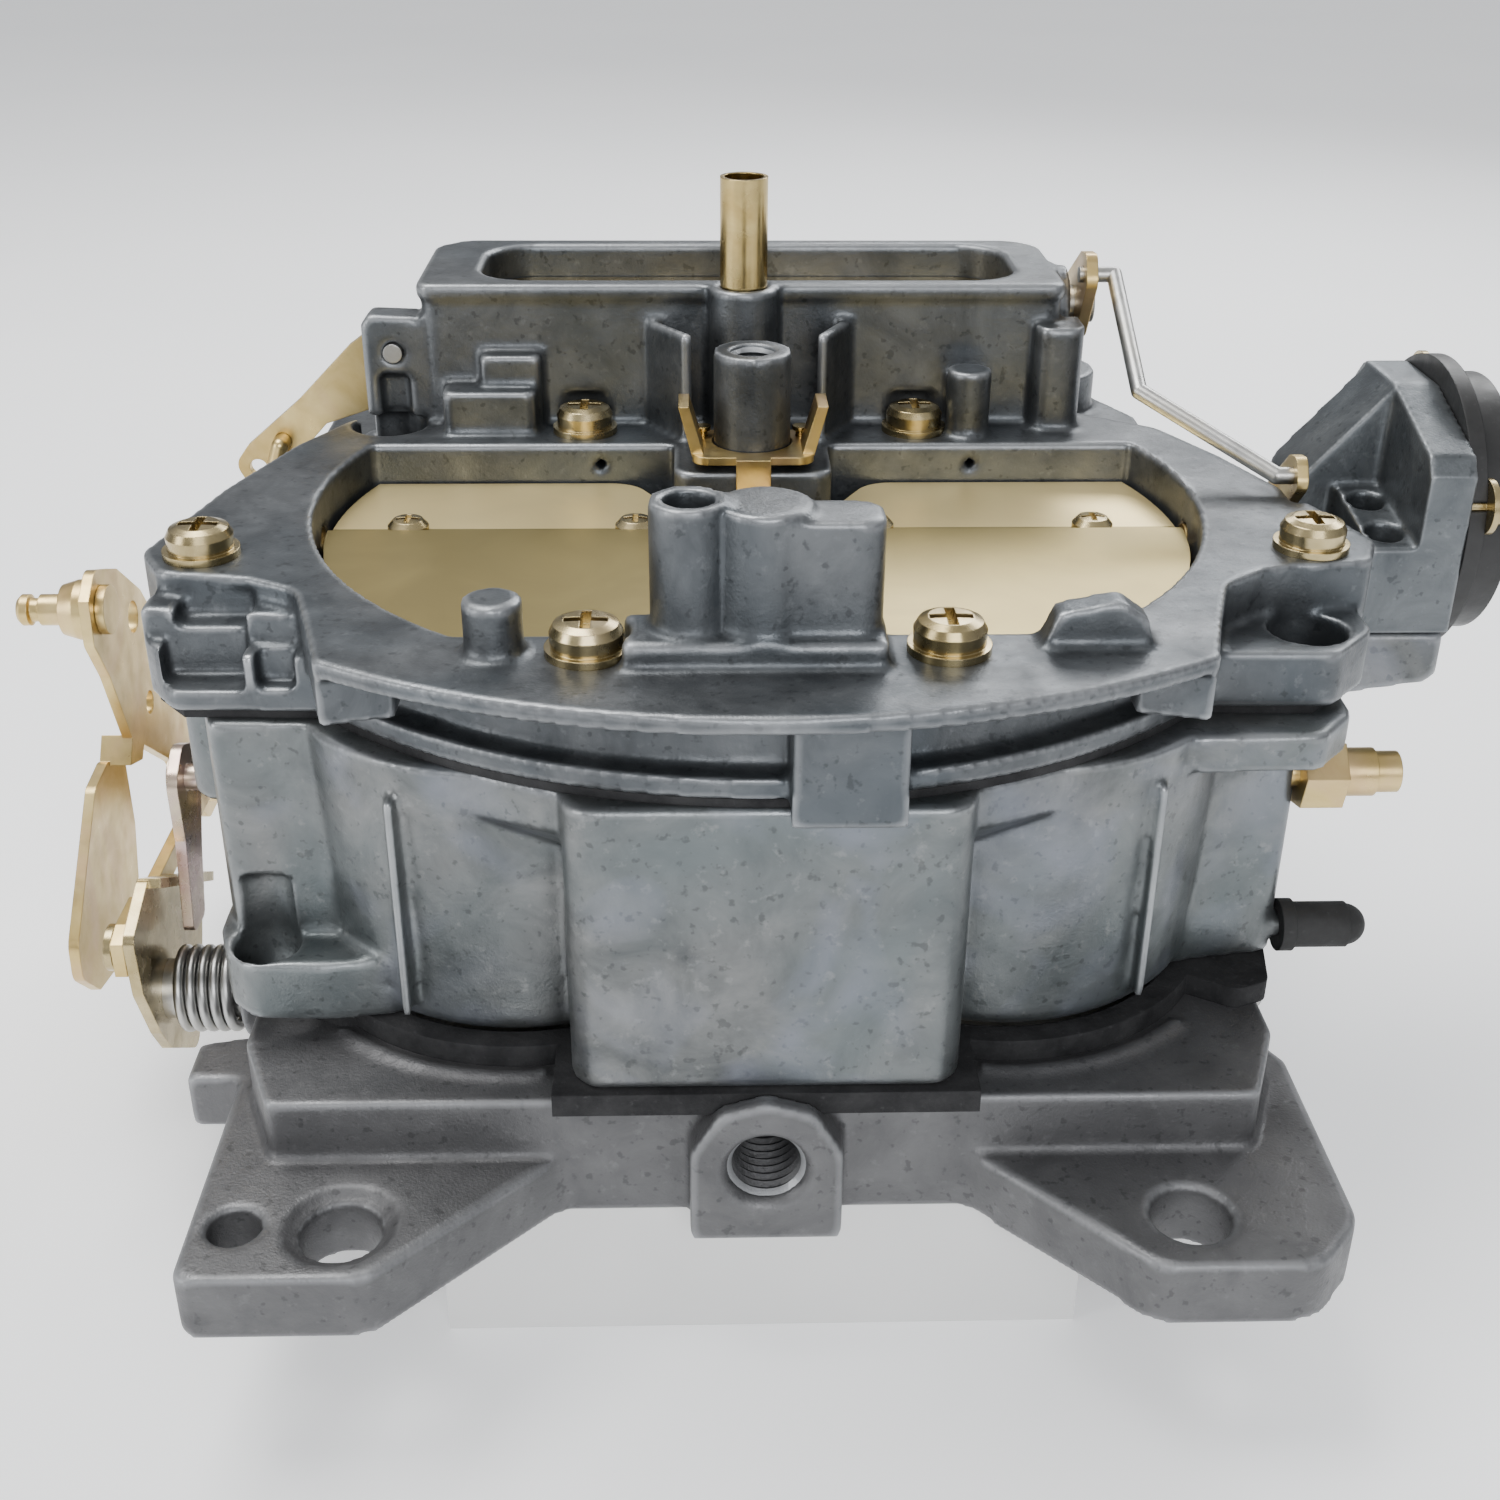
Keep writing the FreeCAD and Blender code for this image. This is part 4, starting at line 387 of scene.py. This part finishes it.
# ------------------------------------------------------------------ internal threads
def lathe(name, axis, centre, profile, material, segments=64):
    """Turn a closed ring of (distance along axis, radius) points about a y or z axis."""
    verts, faces = [], []
    count = len(profile)
    for i in range(segments):
        angle = 2 * math.pi * i / segments
        across, up = math.cos(angle), math.sin(angle)
        for along, r in profile:
            if axis == "y":
                point = (r * across, along, r * up)
            else:
                point = (r * across, r * up, along)
            verts.append(tuple(p + c for p, c in zip(point, centre)))
    for i in range(segments):
        j = (i + 1) % segments
        for k in range(count):
            n = (k + 1) % count
            faces.append((i * count + k, i * count + n, j * count + n, j * count + k))
    mesh = bpy.data.meshes.new(name + "_mesh")
    mesh.from_pydata(verts, [], faces)
    bm = bmesh.new()
    bm.from_mesh(mesh)
    bmesh.ops.recalc_face_normals(bm, faces=bm.faces)
    bm.to_mesh(mesh)
    bm.free()
    mesh.update()
    add_part(name, mesh, material, ROOT_BODY)


def thread(name, axis, centre, start, end, radius, pitch, depth, material):
    """A sleeve lined with V ridges that stand inward by depth."""
    root = radius + 0.00005
    wall = radius + 0.0003
    turns = int((end - start) / pitch)
    step = (end - start) / turns
    profile = []
    for i in range(turns):
        profile += [(start + i * step, root), (start + (i + 0.5) * step, radius - depth)]
    profile += [(end, root), (end, wall), (start, wall)]
    lathe(name, axis, centre, profile, material)


# this port opens on the -Y side
thread("rear_port_thread", "y", centre=(0, 0, 0.0113), start=-0.0634, end=-0.046,
       radius=0.0051, pitch=0.0014, depth=0.00055, material=BASE)
thread("stud_boss_thread", "z", centre=(0, 0.022, 0), start=0.0780, end=0.0950,
       radius=0.0032, pitch=0.0013, depth=0.0004, material=HORN)
thread("inlet_nut_thread", "y", centre=(0, 0, 0.042), start=0.0924, end=0.1018,
       radius=0.0064, pitch=0.0014, depth=0.0005, material=STEEL)


# ------------------------------------------------------------------ table and stand
def add_staged(name, verts, faces, material):
    mesh = bpy.data.meshes.new(name)
    mesh.from_pydata(verts, [], faces)
    obj = link_object(name, mesh)
    mesh.materials.append(material)


def table_material():
    m = Material("pale_table")
    mottle = m.noise(6.0, detail=3.0, rough=0.5)
    m.set("Base Color", m.ramp(mottle, (0.3, (0.84, 0.85, 0.86)), (0.7, (0.88, 0.885, 0.89))))
    m.set("Roughness", 0.75)
    m.set("Specular IOR Level", 0.12)
    m.set("Emission Color", (0.97, 0.98, 1.0))
    m.set("Emission Strength", 0.36)
    height = m.noise(300.0, detail=3.0, rough=0.5)
    m.set("Normal", m.bump(height, strength=0.05, distance=0.0003))
    return m.material


def stand_material():
    m = Material("stand_board")
    mottle = m.noise(30.0, detail=3.0, rough=0.5)
    m.set("Base Color", m.ramp(mottle, (0.3, (0.70, 0.70, 0.69)), (0.7, (0.76, 0.76, 0.75))))
    m.set("Roughness", 0.6)
    return m.material


def rectangle(half_x, y0, y1, z):
    return [(-half_x, y0, z), (half_x, y0, z), (half_x, y1, z), (-half_x, y1, z)]


def stand_mesh():
    """Two boards across x, one under each end of the carburetor."""
    half_width, top_z = 0.044, -0.0004
    box_faces = ((3, 2, 1, 0), (4, 5, 6, 7), (0, 1, 5, 4), (1, 2, 6, 5), (2, 3, 7, 6),
                 (3, 0, 4, 7))
    verts, faces = [], []
    for y0, y1 in ((-0.058, -0.049), (0.072, 0.080)):
        first = len(verts)
        for z in (TABLE_Z, top_z):
            verts += rectangle(half_width, y0, y1, z)
        faces += [tuple(first + i for i in face) for face in box_faces]
    return verts, faces


add_staged("table", rectangle(3, -3, 3, TABLE_Z), [(0, 1, 2, 3)], table_material())
add_staged("stand", *stand_mesh(), stand_material())


# ------------------------------------------------------------------ world, lights, camera
def build_world():
    """Sky graded by height, brighter to the camera than to the surfaces it lights."""
    world = bpy.data.worlds.new("studio")
    scene.world = world
    world.use_nodes = True
    tree = world.node_tree
    tree.nodes.clear()
    direction = add_node(tree, "TexCoord").outputs["Generated"]
    z = add_node(tree, "SeparateXYZ", {"Vector": direction}).outputs["Z"]
    height = add_node(tree, "MapRange", {"Value": z, "From Min": -1.0}).outputs[0]
    sky = add_node(tree, "ValToRGB", {"Fac": height})
    set_stops(sky, (
        (0.30, (0.72, 0.73, 0.75)),
        (0.50, (0.80, 0.81, 0.83)),
        (0.62, (0.30, 0.31, 0.33)),
        (0.80, (0.85, 0.86, 0.88)),
    ))
    seen = add_node(tree, "LightPath").outputs["Is Camera Ray"]
    strength = add_node(tree, "MapRange", {"Value": seen, "To Min": 0.75, "To Max": 1.15})
    background = add_node(tree, "Background", {
        "Color": sky.outputs[0], "Strength": strength.outputs[0]})
    add_node(tree, "OutputWorld", {"Surface": background.outputs[0]})


def aim_lamp(name, at, to, size, power, colour=(1, 1, 1)):
    light = bpy.data.lights.new(name, "AREA")
    light.shape = "RECTANGLE"
    light.size, light.size_y = size
    light.energy = power
    light.color = colour
    lamp = link_object(name, light)
    lamp.location = at
    lamp.rotation_euler = (Vector(to) - Vector(at)).to_track_quat("-Z", "Y").to_euler()


def build_camera():
    x, y, z = -0.0081, -0.24905, 0.1695
    # radians: yaw turns the view from +Y to +X, pitch tips it down, roll lifts its right side
    yaw, pitch, roll = 0.030, 0.482, 0.007
    lens = bpy.data.cameras.new("camera")
    lens.lens = 43.88
    lens.sensor_width = 36.0
    lens.clip_start = 0.01
    camera = link_object("camera", lens)
    ahead = Vector((math.sin(yaw) * math.cos(pitch), math.cos(yaw) * math.cos(pitch),
                    -math.sin(pitch)))
    level = Vector((math.cos(yaw), -math.sin(yaw), 0.0))
    upright = level.cross(ahead)
    right = level * math.cos(roll) + upright * math.sin(roll)
    up = upright * math.cos(roll) - level * math.sin(roll)
    camera.matrix_world = Matrix((
        (right.x, up.x, -ahead.x, x),
        (right.y, up.y, -ahead.y, y),
        (right.z, up.z, -ahead.z, z),
        (0, 0, 0, 1),
    ))
    scene.camera = camera


build_world()
aim_lamp("key_top", at=(-0.25, 0.10, 0.85), to=(0, 0, 0.05), size=(0.55, 0.40),
         power=7.5, colour=(1.0, 0.99, 0.97))
aim_lamp("rear_strip", at=(0.35, 0.65, 0.55), to=(0, 0.02, 0.07), size=(0.7, 0.25),
         power=5.0, colour=(0.98, 0.99, 1.0))
aim_lamp("front_fill", at=(0.10, -0.85, 0.45), to=(0, -0.03, 0.04), size=(0.60, 0.40),
         power=5.0, colour=(0.97, 0.98, 1.0))
aim_lamp("left_fill", at=(-0.75, -0.35, 0.30), to=(-0.03, 0, 0.04), size=(0.30, 0.45),
         power=2.5)
build_camera()
